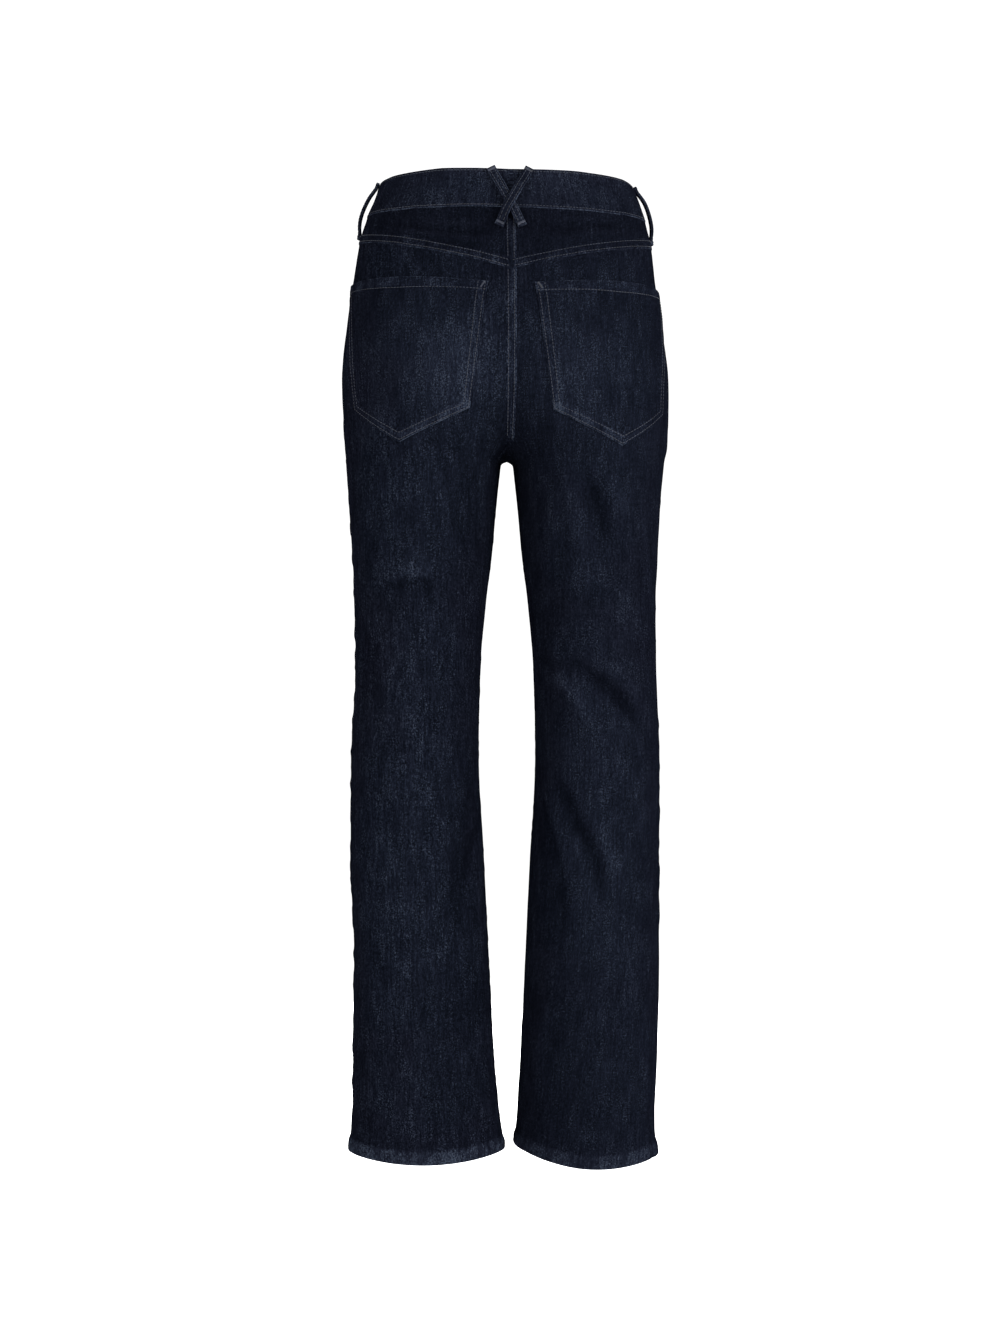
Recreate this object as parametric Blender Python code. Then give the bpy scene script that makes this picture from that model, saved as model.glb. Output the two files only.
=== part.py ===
"""Straight leg jeans with a high rise, held open as they are when worn.

+Z is up, the front faces -Y and the wearer's left is +X.  The origin is the middle of the waistband ring.
Tables and sizes are in millimetres, and meshes are made in metres.

Each leg, with its half of the seat, is a stack of rounded sections.  A piece of cloth is cut as a flat
pattern of (across, height): "across" is the distance along the section from the side seam, and it ends
at the centre seam above the crotch and at the inseam below it.  The pattern is filled with triangles and
wrapped on the sections, and a wall is made by moving its points out and in.
"""
import math

import bmesh
import bpy
import numpy as np
from mathutils import Matrix, Vector
from mathutils.geometry import delaunay_2d_cdt

METRE = 0.001               # one millimetre in metres

# Cloth
WALL = 1.2                  # one layer of denim
GAP = 0.3                   # between pieces, at seams and between layers
HALF_GAP = GAP / 2
BAND_WALL = 2.6             # the waistband: two layers and their turnings
LOOP_WALL = 2.6             # a belt loop: cloth folded in three
TURNING = 0.8               # what a turned and stitched edge adds to a wall
SHARP_ANGLE = 40            # edges that turn more than this, in degrees, are not shaded smooth

# Heights, from the middle of the waistband
BAND_TOP = 19.0
WAIST_SEAM = -20.5
BACK_RISE = 2.0             # the waist stands this much higher at the centre back than at the sides
FRONT_DIP = 11.0            # and this much lower at the centre front
YOKE_SIDE = -48.0           # the yoke seam at the side
YOKE_CENTRE = -83.5         # and at the centre back
YOKE_SWEEP = 1.65           # how late the seam dips on its way to the centre: 1 is straight
CROTCH = -264.0
HEM = -982.0
HEM_BACK_DROP = 7.5
HEM_FRONT_RISE = 4.0
HEM_OUTER_DROP = 1.5        # the hem hangs this much lower at the side seam, and higher at the inseam
HEM_DEPTH = 14.0
HEM_STEP = 1.5              # height over which the hem's wall thickens
HEM_UNDER = 1.5             # how much the turned-up layers add on the inside
LEAN = 0.014                # the wearer's left side hangs this much higher, a millimetre across

# How the halves meet at the centre seam, and how square the sections are
SADDLE = 8.0
POWER = 2.15

# One row for each level.  Outer: distance of the widest point from the centre seam.  Centre and inner: the
# deepest point and the inner end of a half section.  Front, wide_y and back: along Y, wide_y being where
# the section is widest.  Turn: how far the right leg is turned out, in degrees.
COLUMNS = ("height", "outer_left", "outer_right", "centre", "inner", "front", "wide_y", "back", "turn")
LEVELS = (
    (40, 124, 122, 8, -110, -81, 2, 82, 0),
    (19, 130, 129, 8, -110, -82, 5, 83, 0),
    (0, 136, 136, 8, -110, -84, 9, 85, 0),
    (-19, 144, 142, 8, -110, -88, 13, 89, 0),
    (-45, 152, 148, 12, -100, -94, 18, 99, 0),
    (-83, 158, 151.5, 24, -88, -100, 23, 112, 0),
    (-130, 164.5, 158, 42, -74, -105, 24, 123, 0),
    (-185, 170, 164.5, 61, -55, -106, 20, 128, 0),
    (-230, 169, 165, 75, -20, -103, 9, 122, 0),
    (-251, 168.5, 165, 80, -3, -101, -1, 116, 0),
    (-264, 167.5, 163, 82, 8, -99, -5, 110, 0),
    (-279, 166, 161.5, 84, 11.8, -97, -6, 105, 0),
    (-313, 164, 159, 87, 14, -94, -5, 95, 0),
    (-365, 160.5, 156, 89, 18, -89, -3, 85, 0),
    (-417, 158, 154, 91, 24, -84, -1, 77, 0),
    (-480, 157, 154.5, 93, 29, -78, 0, 71, 0),
    (-573, 161.5, 158, 96, 31, -71, 0, 70, 0),
    (-677, 162, 158, 95, 26, -66, 1, 72, -6),
    (-781, 158.5, 157.5, 89, 21, -62, 0, 66, -13),
    (-885, 160, 156, 87, 16, -59, 0, 60, -21),
    (-940, 160, 153.5, 85.5, 12, -58, 0, 58, -26),
    (-985, 163, 157, 85, 9, -57, 0, 58, -30),
    (-1010, 164, 158, 85, 9, -57, 0, 58, -31),
)
SIDE_SEAM_Y = 0.0
SAMPLES = 120               # points measured along each section

# The largest folds.  Across is a share of the panel's width from the side seam; length and width are
# half sizes; tilt is from upright, in degrees, leaning to the inseam at its top; rise is out of the cloth.
FOLD_COLUMNS = ("side", "face", "across", "height", "length", "width", "tilt", "rise")
FOLDS = (
    ("right", "back", 0.45, -508, 44, 13, 48, -4.5),
    ("right", "back", 0.67, -505, 36, 14, 36, 3.0),
    ("right", "back", 0.50, -316, 40, 13, 30, -3.0),
    ("right", "back", 0.67, -338, 34, 14, 20, 2.5),
    ("right", "back", 0.59, -652, 54, 12, 27, -3.5),
    ("right", "back", 0.74, -690, 70, 12, 20, -3.5),
    ("left", "back", 0.42, -384, 15, 42, 0, 2.5),
    ("left", "back", 0.44, -405, 12, 40, 0, -3.0),
    ("left", "back", 0.70, -315, 48, 12, 0, -2.5),
    ("left", "back", 0.715, -672, 66, 12, 17, -3.5),
    ("left", "back", 0.24, -505, 58, 12, -11, -2.5),
    ("left", "front", 0.55, -545, 14, 44, 10, -3.0),
    ("left", "front", 0.48, -580, 16, 46, -8, 3.0),
    ("left", "front", 0.78, -256, 40, 13, 62, -3.5),
    ("right", "front", 0.50, -560, 15, 46, -12, -3.0),
    ("right", "front", 0.55, -520, 16, 44, 8, 3.0),
    ("right", "front", 0.78, -252, 40, 13, 62, -3.5),
)

# Felled seams: the bands where one panel's turned edge is stitched down on the next
FELL_WIDTH = 10.0
CENTRE_FELL = 5.2           # the centre seam's band reaches this far on each side of the seam
FELL_STEP = 1.5             # width over which a band's wall thickens
FELL_END = CROTCH + 18.0    # where the centre seam's band runs out above the crotch
FELL_FADE = 6.0             # height over which it does so

# Spacing of the cloth's points
ACROSS_STEP = 17.0
SEAT_STEP = 24.0
LEG_STEP = 33.0
ON_LINE = 0.1               # points no farther than this from a line belong to it
FROM_EDGE = 0.42            # the nearest that an inner point comes to an edge, as a share of ACROSS_STEP
FROM_FORK_EDGE = 2.2        # and an extra point at the crotch, in millimetres
APART = 0.5                 # the nearest that an inner point comes to an extra one, a share of ACROSS_STEP

# Where the cloth turns most, round the crotch: heights from it on the centre seam and the inseam, and rows
# of extra points at distances in from those seams
FORK_ABOVE = (42.0, 30.0, 20.0, 12.0, 6.5, 2.8, 0.7, 0.0)
FORK_BELOW = (0.0, -2.5, -7.0, -14.0, -24.0)
FORK_REACH = 40.0           # the inseam's even spacing begins this far below the crotch
FORK_ROWS = (42.0, 30.0, 20.0, 12.0, 6.0, 1.0, -4.0, -11.0, -20.0, -32.0)
FORK_IN = (6.0, 13.0, 22.0, 33.0)

# Back pocket: corners as (distance from the centre seam, height).  Its edges are straight from behind.
UPRIGHT = 85.0              # distance from the centre of the upright plane that the pocket is drawn from
POCKET_TOP_INNER = (24.0, -98.0)
POCKET_LOW_INNER = (47.0, -223.5)
POCKET_POINT = (138.0, -258.0)
POCKET_LOW_OUTER = (180.0, -224.0)
POCKET_TOP_OUTER = (196.0, -94.0)
POCKET_HEM = 11.0           # depth of the turned edge along the pocket's top

# Front pocket and fly
SCOOP_WIDTH = 0.46          # share of the front's waist
SCOOP_DEPTH = 84.0          # down the side seam, from the waist seam
SCOOP_ACROSS = 0.8          # powers that flatten the curve: 1 for both would be a quarter of an ellipse
SCOOP_DOWN = 1.15
SCOOP_POINTS = 10
FACING_UNDERLAP = 15.0
FLY_WIDTH = 38.0
FLY_LENGTH = 165.0
ZIP_WIDTH = 14.0
ZIP_LENGTH = 145.0
ZIP_WALL = 1.0
LAP_STEP = (12.0, 3.0)      # the band's right end steps in between these distances from the centre
UNDERLAP = (1.0, 4.0, 12.0, 24.0, 36.0)     # its points behind the left end, from the centre on
BAND_ROWS = 4
BEYOND_SIDE = -1.0          # across, past the side seam and past every centre seam
BEYOND_CENTRE = 1000.0
ABOVE_WAIST = 40.0

# Belt loops
LOOP_WIDTH = 9.0
LOOP_LENGTH = 62.0
LOOP_STAND = 6.0            # how far a loop stands off the waistband
LOOP_OVER = 1.0             # and above its top
LOOP_SETTLE = 8.0           # a loop steps down to the yoke over this height below the waist seam
LOOP_ASIDE = 1.0            # gap between an upright loop's edge and the line that it is placed from
LOOP_BACK_TOP = 19.5        # the back pair cross: distances from the centre seam at their tops
LOOP_BACK_BOTTOM = 12.0     # and at their lower ends, on the other side of it
LOOP_CROSS = (0.15, 0.35)   # shares of the length where the upper one rises over the other
LOOP_CROSSED = (0.80, 0.92) # and where it comes down again
FRONT_LOOP_SHARE = 0.55
# Share of the length from the top, and share of LOOP_STAND
LOOP_SHAPE = ((0, 0), (0.08, 0), (0.18, 0.45), (0.28, 0.85), (0.40, 1), (0.55, 1), (0.68, 0.9),
              (0.80, 0.55), (0.91, 0), (1, 0))

# Button
BUTTON_RADIUS = 8.5
BUTTON_FROM_END = 13.0
BUTTON_SIDES = 20
BUTTON_STAND = 0.9          # under the head, where the band hollows in
SHANK_RADIUS = 2.3
BUTTONHOLE_LENGTH = 17.0
BUTTONHOLE_WIDTH = 5.6
BUTTONHOLE_CUT = 4.0        # how far out of the band's middle its cutter starts
# Outline of the head from its underside to its middle, as (radius, height from the underside)
BUTTON_HEAD = ((7.4, 0.0), (BUTTON_RADIUS, 0.9), (BUTTON_RADIUS, 1.8), (7.7, 2.5), (6.6, 2.2), (4.0, 2.6),
               (0.0, 2.8))

# Linear colour, roughness, metallic
DENIM = ((0.010, 0.014, 0.030), 0.88, 0.0)
DENIM_LIGHT = ((0.014, 0.019, 0.038), 0.86, 0.0)
ZIP_BRASS = ((0.30, 0.22, 0.10), 0.40, 1.0)
BUTTON_METAL = ((0.17, 0.13, 0.09), 0.38, 1.0)

SIDES = {"left": 1.0, "right": -1.0}
FACES = {"back": 1.0, "front": -1.0}


# ---------------------------------------------------------------- the form

def ease(low, high, value):
    """0 below low, 1 above high, and smooth between them."""
    share = np.clip((value - low) / (high - low), 0.0, 1.0)
    return share * share * (3.0 - 2.0 * share)


def column(name, heights):
    """A column of LEVELS at any heights, on a curve with no overshoot."""
    knots = np.array([row[0] for row in reversed(LEVELS)], float)
    values = np.array([row[COLUMNS.index(name)] for row in reversed(LEVELS)], float)
    run = np.diff(knots)
    slope = np.diff(values) / run
    tangent = np.zeros(len(knots))
    same_way = slope[:-1] * slope[1:] > 0
    before, after = slope[:-1][same_way], slope[1:][same_way]
    tangent[1:-1][same_way] = 2 * before * after / (before + after)
    tangent[0], tangent[-1] = slope[0], slope[-1]
    heights = np.clip(heights, knots[0], knots[-1])
    index = np.clip(np.searchsorted(knots, heights, side="right") - 1, 0, len(run) - 1)
    share = (heights - knots[index]) / run[index]
    square, cube = share ** 2, share ** 3
    return ((2 * cube - 3 * square + 1) * values[index]
            + (cube - 2 * square + share) * run[index] * tangent[index]
            + (3 * square - 2 * cube) * values[index + 1]
            + (cube - square) * run[index] * tangent[index + 1])


def half_sizes(side, heights):
    """Centre, outer and inner half widths, widest line, and front and back depths of a half section."""
    centre = column("centre", heights)
    outer = np.hypot(column("outer_" + side, heights), SADDLE) - centre
    inner = centre - column("inner", heights)
    wide_y = column("wide_y", heights)
    return centre, outer, inner, wide_y, wide_y - column("front", heights), column("back", heights) - wide_y


def section(side, face, heights):
    """Points along each section from the side seam to its inner end: x, y and the distance so far."""
    centre, outer, inner, wide_y, front, back = (v[:, None] for v in half_sizes(side, heights))
    end_share = np.clip((centre - SADDLE) / inner, 0.0, 1.0)
    end = FACES[face] * (math.pi - np.arccos(end_share ** (POWER / 2)))
    seam = SIDE_SEAM_Y - wide_y
    start = np.sign(seam) * np.arcsin((np.abs(seam) / np.where(seam > 0, back, front)) ** (POWER / 2))
    angle = start + (end - start) * np.linspace(0.0, 1.0, SAMPLES)[None, :]
    along, over = np.cos(angle), np.sin(angle)
    spread = centre + np.where(along >= 0, outer, inner) * np.sign(along) * np.abs(along) ** (2 / POWER)
    x = np.sqrt(np.maximum(spread ** 2 - SADDLE ** 2, 0.0))
    y = wide_y + np.where(over > 0, back, front) * np.sign(over) * np.abs(over) ** (2 / POWER)
    steps = np.hypot(np.diff(x, axis=1), np.diff(y, axis=1))
    so_far = np.concatenate([np.zeros((len(x), 1)), np.cumsum(steps, axis=1)], axis=1)
    return x, y, so_far


def full_width(side, face, heights):
    """How far each section runs from the side seam to the centre seam or the inseam."""
    return section(side, face, np.atleast_1d(np.asarray(heights, float)))[2][:, -1]


def fullness(side, x, y, heights):
    """1 on the cloth, less inside it, more outside, with its slopes along x and y."""
    centre, outer, inner, wide_y, front, back = half_sizes(side, heights)
    spread = np.hypot(x, SADDLE)
    reach = np.where(spread >= centre, outer, inner)
    depth = np.where(y > wide_y, back, front)
    along = (spread - centre) / reach
    over = (y - wide_y) / depth
    value = np.abs(along) ** POWER + np.abs(over) ** POWER
    slope_x = POWER * np.abs(along) ** (POWER - 1) * np.sign(along) / reach * x / spread
    slope_y = POWER * np.abs(over) ** (POWER - 1) * np.sign(over) / depth
    return value, slope_x, slope_y


def fold_rise(side, face, across, heights):
    """How far the folds lift the cloth."""
    rise = np.zeros(len(across))
    for fold in FOLDS:
        row = dict(zip(FOLD_COLUMNS, fold))
        if row["side"] != side or row["face"] != face:
            continue
        middle = row["across"] * full_width(side, face, row["height"])[0]
        tilt = math.radians(row["tilt"])
        right, up = across - middle, heights - row["height"]
        along = right * math.sin(tilt) + up * math.cos(tilt)
        aside = right * math.cos(tilt) - up * math.sin(tilt)
        rise += row["rise"] * np.exp(-(along / row["length"]) ** 2 - (aside / row["width"]) ** 2)
    return rise


def wrap(side, face, across, heights, out=0.0):
    """Points of the pattern wrapped on the sections and moved out, in millimetres."""
    across, heights = np.asarray(across, float), np.asarray(heights, float)
    xs, ys, so_far = section(side, face, heights)
    rows = np.arange(len(across))
    index = np.clip((so_far < across[:, None]).sum(axis=1) - 1, 0, SAMPLES - 2)
    start, step = so_far[rows, index], so_far[rows, index + 1] - so_far[rows, index]
    share = np.clip((across - start) / np.maximum(step, 1e-9), 0.0, 1.0)
    x = xs[rows, index] * (1 - share) + xs[rows, index + 1] * share
    y = ys[rows, index] * (1 - share) + ys[rows, index + 1] * share

    slope_x, slope_y = fullness(side, x, y, heights)[1:]
    slope_z = (fullness(side, x, y, heights + 1)[0] - fullness(side, x, y, heights - 1)[0]) / 2
    normal = np.stack([slope_x, slope_y, slope_z], axis=1)
    normal /= np.linalg.norm(normal, axis=1)[:, None]

    out = np.broadcast_to(out, x.shape) + fold_rise(side, face, across, heights)
    points = np.stack([np.maximum(x, HALF_GAP), y, heights], axis=1) + normal * out[:, None]
    points[:, 0] = np.maximum(points[:, 0], HALF_GAP)
    return hang(side, points, heights)


def hang(side, points, heights):
    """Turn a leg out and set it on its own side of the body, with the body's lean."""
    if side == "right":
        angle = -np.radians(column("turn", heights))
        centre = column("centre", heights)
        x, y = points[:, 0] - centre, points[:, 1]
        points[:, 0] = centre + x * np.cos(angle) - y * np.sin(angle)
        points[:, 1] = x * np.sin(angle) + y * np.cos(angle)
    points[:, 0] *= SIDES[side]
    points[:, 2] += LEAN * points[:, 0]
    return points


# ---------------------------------------------------------------- lines on the pattern

def waist_shift(face, share):
    """The waist's rise or dip at a share of the way from the side seam to the centre."""
    full = BACK_RISE if face == "back" else -FRONT_DIP
    return full * (1 - np.cos(np.pi * np.asarray(share, float))) / 2


def line_points(side, face, shares, heights):
    """Pattern points at shares of the full width."""
    shares = np.asarray(shares, float)
    return np.stack([shares * full_width(side, face, heights), heights], axis=1)


def waist_line(side, face, shares):
    return line_points(side, face, shares, WAIST_SEAM - HALF_GAP + waist_shift(face, shares))


def yoke_line(side, shares, shift):
    shares = np.asarray(shares, float)
    heights = YOKE_SIDE + (YOKE_CENTRE - YOKE_SIDE) * shares ** YOKE_SWEEP + shift
    return line_points(side, "back", shares, heights)


def hem_line(side, face, shares, up=0.0):
    shares = np.asarray(shares, float)
    swing = -HEM_BACK_DROP if face == "back" else HEM_FRONT_RISE
    heights = HEM + up + swing * np.sin(np.pi * shares) ** 2 - HEM_OUTER_DROP * np.cos(np.pi * shares)
    return line_points(side, face, shares, heights)


def between(start, end, step):
    """Evenly spaced values from start to end, both included."""
    count = max(1, round(abs(end - start) / step))
    return np.linspace(start, end, count + 1)


def even_shares(side, face, height):
    return between(0.0, 1.0, ACROSS_STEP / full_width(side, face, height)[0])


def side_heights(top):
    """Heights of the points down the side seam, the same on the pieces that it joins."""
    stops = [WAIST_SEAM - HALF_GAP, YOKE_SIDE, WAIST_SEAM - SCOOP_DEPTH,
             WAIST_SEAM - SCOOP_DEPTH - FACING_UNDERLAP, CROTCH]
    seat = np.concatenate([between(a, b, SEAT_STEP)[:-1] for a, b in zip(stops, stops[1:])])
    return np.concatenate([seat[seat < top - 1], leg_heights(-HEM_OUTER_DROP)])


def leg_heights(hem_shift):
    """Heights of the points down the side seam or the inseam, from the crotch to the hem."""
    hem = HEM + hem_shift
    leg = between(CROTCH - FORK_REACH, hem + HEM_DEPTH + HEM_STEP, LEG_STEP)
    return np.concatenate([CROTCH + np.array(FORK_BELOW), leg, [hem + HEM_DEPTH, hem]])


def centre_heights(top, stops=()):
    """Heights down the centre seam, closer together where it runs under the crotch."""
    ends = [top, *stops, CROTCH + FORK_ABOVE[0]]
    seat = [between(a, b, SEAT_STEP)[:-1] for a, b in zip(ends, ends[1:])]
    return np.concatenate([*seat, CROTCH + np.array(FORK_ABOVE)])


def fork_points(side, face):
    """Extra points of the pattern round the crotch, where the cloth turns most."""
    points = []
    for rise in FORK_ROWS:
        width = full_width(side, face, CROTCH + rise)[0]
        points += [(width - inward, CROTCH + rise) for inward in FORK_IN]
    return np.array(points)


def side_edge(heights):
    return np.stack([np.full(len(heights), HALF_GAP), heights], axis=1)


def centre_edge(side, face, heights):
    return np.stack([full_width(side, face, heights), heights], axis=1)


def inseam_edge(side, face, heights):
    return np.stack([full_width(side, face, heights) - HALF_GAP, heights], axis=1)


# ---------------------------------------------------------------- patterns filled with triangles

def distance_to_lines(points, lines):
    """Distance from each point to the nearest of some open polylines."""
    nearest = np.full(len(points), np.inf)
    for line in lines:
        for start, end in zip(line, line[1:]):
            run = end - start
            share = np.clip(((points - start) @ run) / max(run @ run, 1e-12), 0, 1)
            nearest = np.minimum(nearest, np.linalg.norm(points - start - share[:, None] * run, axis=1))
    return nearest


def inside(points, outline):
    """Which points lie inside a closed outline."""
    result = np.zeros(len(points), bool)
    for start, end in zip(outline, np.roll(outline, -1, axis=0)):
        crosses = (start[1] > points[:, 1]) != (end[1] > points[:, 1])
        drop = end[1] - start[1] if end[1] != start[1] else 1e-12
        result ^= crosses & (points[:, 0] < start[0] + (points[:, 1] - start[1]) / drop * (end[0] - start[0]))
    return result


def grid(low, high, row_step):
    """Staggered points that fill a box of the pattern."""
    rows = between(high[1], low[1], row_step)
    points = []
    for number, height in enumerate(rows):
        start = ACROSS_STEP * (0.5 if number % 2 else 0.0)
        points += [(across, height) for across in np.arange(low[0] + start, high[0], ACROSS_STEP)]
    return np.array(points)


def fill(outline, lines=(), extra=()):
    """Fill a closed outline with triangles whose edges follow the inner lines, through extra points."""
    top, bottom = outline[:, 1].max(), outline[:, 1].min()
    cut = max(min(top, CROTCH - 20), bottom)
    squash = np.array([1.0, ACROSS_STEP / LEG_STEP])
    inner = [grid((0, bottom), (outline[:, 0].max(), cut), LEG_STEP)] if cut > bottom else []
    if top > cut:
        inner.append(grid((0, cut), (outline[:, 0].max(), top), SEAT_STEP))
    inner = np.concatenate(inner)
    inner = inner[inside(inner, outline)] * squash
    edges = [np.vstack([outline, outline[:1]]) * squash] + [line * squash for line in lines]
    inner = inner[distance_to_lines(inner, edges) > FROM_EDGE * ACROSS_STEP]
    if len(extra):
        extra = extra[inside(extra, outline)] * squash
        extra = extra[distance_to_lines(extra, edges) > FROM_FORK_EDGE]
        apart = np.linalg.norm(inner[:, None] - extra[None], axis=2).min(axis=1)
        inner = np.vstack([inner[apart > APART * ACROSS_STEP], extra])

    points, links = [], []
    for number, line in enumerate(edges):
        first = len(points)
        closed = number == 0
        line = line[:-1] if closed else line
        points += [Vector(p) for p in line]
        links += [(first + i, first + i + 1) for i in range(len(line) - 1)]
        if closed:
            links.append((first + len(line) - 1, first))
    points += [Vector(p) for p in inner]
    found, _, triangles, _, _, _ = delaunay_2d_cdt(points, links, [], 1, 1e-3)
    return np.array([(p.x, p.y) for p in found]) / squash, np.array([tuple(t) for t in triangles])


def keep(pattern, chosen):
    """The part of a filled pattern made of the chosen triangles."""
    points, triangles = pattern
    triangles = triangles[chosen]
    used, numbers = np.unique(triangles, return_inverse=True)
    return points[used], numbers.reshape(triangles.shape)


def middles(pattern):
    points, triangles = pattern
    return points[triangles].mean(axis=1)


# ---------------------------------------------------------------- solids

def material(name, finish):
    made = bpy.data.materials.new(name)
    made.use_nodes = True
    shader = made.node_tree.nodes["Principled BSDF"]
    colour, roughness, metallic = finish
    shader.inputs["Base Color"].default_value = (*colour, 1.0)
    shader.inputs["Roughness"].default_value = roughness
    shader.inputs["Metallic"].default_value = metallic
    made.diffuse_color = (*colour, 1.0)
    return made


def add_object(name, mesh, finish):
    mesh.shade_smooth()
    mesh.set_sharp_from_angle(angle=math.radians(SHARP_ANGLE))
    mesh.materials.append(material(name + "_finish", finish))
    made = bpy.data.objects.new(name, mesh)
    bpy.context.collection.objects.link(made)
    return made


def solid(name, outer, inner, triangles, finish):
    """Close two layers of points that share their triangles into one wall."""
    count = len(outer)
    corners = outer[triangles]
    facing = np.cross(corners[:, 1] - corners[:, 0], corners[:, 2] - corners[:, 0])
    if (facing * (outer - inner)[triangles].mean(axis=1)).sum() < 0:
        triangles = triangles[:, ::-1]
    edges = {}
    for a, b, c in triangles:
        for edge in ((a, b), (b, c), (c, a)):
            edges[edge] = True
    rim = [edge for edge in edges if (edge[1], edge[0]) not in edges]
    faces = [tuple(t) for t in triangles] + [tuple(t + count) for t in triangles[:, ::-1]]
    for a, b in rim:
        faces.append((b, a, a + count))
        faces.append((b, a + count, b + count))
    mesh = bpy.data.meshes.new(name)
    mesh.from_pydata((np.vstack([outer, inner]) * METRE).tolist(), [], [tuple(map(int, f)) for f in faces])
    mesh.validate()
    return add_object(name, mesh, finish)


def cloth(name, side, face, pattern, finish, outer=WALL / 2, inner=-WALL / 2):
    """A wall on a filled pattern; outer and inner are its surfaces, one number or one for each point."""
    points, triangles = pattern
    return solid(name, wrap(side, face, points[:, 0], points[:, 1], outer),
                 wrap(side, face, points[:, 0], points[:, 1], inner), triangles, finish)


# ---------------------------------------------------------------- the pieces

def hem_thickness(side, face, points):
    """1 in the turned-up hem and 0 above it."""
    shares = points[:, 0] / full_width(side, face, points[:, 1])
    above = points[:, 1] - hem_line(side, face, np.clip(shares, 0, 1))[:, 1]
    return 1 - ease(HEM_DEPTH + ON_LINE, HEM_DEPTH + HEM_STEP - ON_LINE, above)


def hem_lines(side, face):
    """The two lines between which the hem's wall thickens."""
    shares = even_shares(side, face, HEM)
    lines = [hem_line(side, face, shares, up) for up in (HEM_DEPTH, HEM_DEPTH + HEM_STEP)]
    for line in lines:
        line[0, 0] += HALF_GAP
        line[-1, 0] -= HALF_GAP
    return lines


def hem_edge(side, face):
    line = hem_line(side, face, even_shares(side, face, HEM))
    line[0, 0] += HALF_GAP
    line[-1, 0] -= HALF_GAP
    return line


def panel_outline(side, face, top_edge, side_top, centre_top, stops=()):
    """Outline of a panel: down the side, along the hem, up the inseam and the centre seam, and the top."""
    down = side_edge(side_heights(side_top))
    up = inseam_edge(side, face, leg_heights(HEM_OUTER_DROP)[::-1])
    centre = centre_edge(side, face, centre_heights(centre_top, stops)[::-1])
    return np.vstack([down, hem_edge(side, face)[1:-1], up[:-1], centre[:-1], top_edge[::-1]])


def panel_walls(side, face, points):
    """Outer and inner surfaces of a panel, thicker in its hem."""
    hem = hem_thickness(side, face, points)
    return WALL / 2 + TURNING * hem, -WALL / 2 - HEM_UNDER * hem


def upright_across(side, heights):
    """How far across the back panel the upright plane lies."""
    xs, _, so_far = section(side, "back", heights)
    return np.array([np.interp(-UPRIGHT, -x, length) for x, length in zip(xs, so_far)])


def pocket_corner(side, corner):
    """A corner of the pocket as its distance from the upright plane and its height."""
    from_centre, height = corner
    across = full_width(side, "back", height) - from_centre
    return np.array([(across - upright_across(side, np.array([height])))[0], height])


def pocket_hem_ends(side):
    """The pocket's upper corners, and the ends of the two lines between which its top edge thickens."""
    ends = []
    for down in (0.0, POCKET_HEM - HEM_STEP, POCKET_HEM):
        for top, low in ((POCKET_TOP_OUTER, POCKET_LOW_OUTER), (POCKET_TOP_INNER, POCKET_LOW_INNER)):
            top, low = pocket_corner(side, top), pocket_corner(side, low)
            ends.append(top + (low - top) * down / (top[1] - low[1]))
    return ends


def pocket_line(side, start, end, step):
    """Pattern points from start to end, which are distances from the upright plane and heights."""
    count = max(1, round(math.dist(start, end) / step))
    line = start + (end - start) * np.linspace(0.0, 1.0, count + 1)[:, None]
    line[:, 0] += upright_across(side, line[:, 1])
    return line


def pocket_lines(side):
    """The back pocket's closed outline, then the two lines between which its top edge thickens."""
    outer, inner, outer_upper, inner_upper, outer_lower, inner_lower = pocket_hem_ends(side)
    low = [pocket_corner(side, corner) for corner in (POCKET_LOW_INNER, POCKET_POINT, POCKET_LOW_OUTER)]
    corners = [outer, inner, inner_upper, inner_lower, *low, outer_lower, outer_upper, outer]
    outline = [pocket_line(side, a, b, SEAT_STEP) for a, b in zip(corners, corners[1:])]
    outline = np.vstack([line[:-1] for line in outline] + [outline[0][:1]])
    return [outline, pocket_line(side, outer_upper, inner_upper, ACROSS_STEP),
            pocket_line(side, outer_lower, inner_lower, ACROSS_STEP)]


def centre_fell_shares(side):
    """Even shares along the yoke seam, with a point where each line of the centre band meets it."""
    width = full_width(side, "back", YOKE_CENTRE)[0]
    stops = [0.0, 1 - CENTRE_FELL / width, 1 - (CENTRE_FELL - FELL_STEP) / width, 1.0]
    steps = [between(a, b, ACROSS_STEP / width)[:-1] for a, b in zip(stops, stops[1:])]
    return np.concatenate([*steps, [1.0]])


def centre_fell_lines(side, top_line, bottom):
    """The two lines between which the centre band's wall thickens, from points of a seam downwards."""
    lines = []
    for start, from_centre in ((top_line[-3], CENTRE_FELL), (top_line[-2], CENTRE_FELL - FELL_STEP)):
        heights = between(start[1], bottom[1], SEAT_STEP)
        line = np.stack([full_width(side, "back", heights) - from_centre, heights], axis=1)
        line[0] = start
        lines.append(line)
    return lines


def centre_fell(side, points):
    """1 in the band along the centre seam and 0 beside it and near the crotch."""
    from_centre = full_width(side, "back", points[:, 1]) - points[:, 0]
    band = 1 - ease(CENTRE_FELL - FELL_STEP + ON_LINE, CENTRE_FELL - ON_LINE, from_centre)
    return band * ease(FELL_END, FELL_END + FELL_FADE, points[:, 1])


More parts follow.
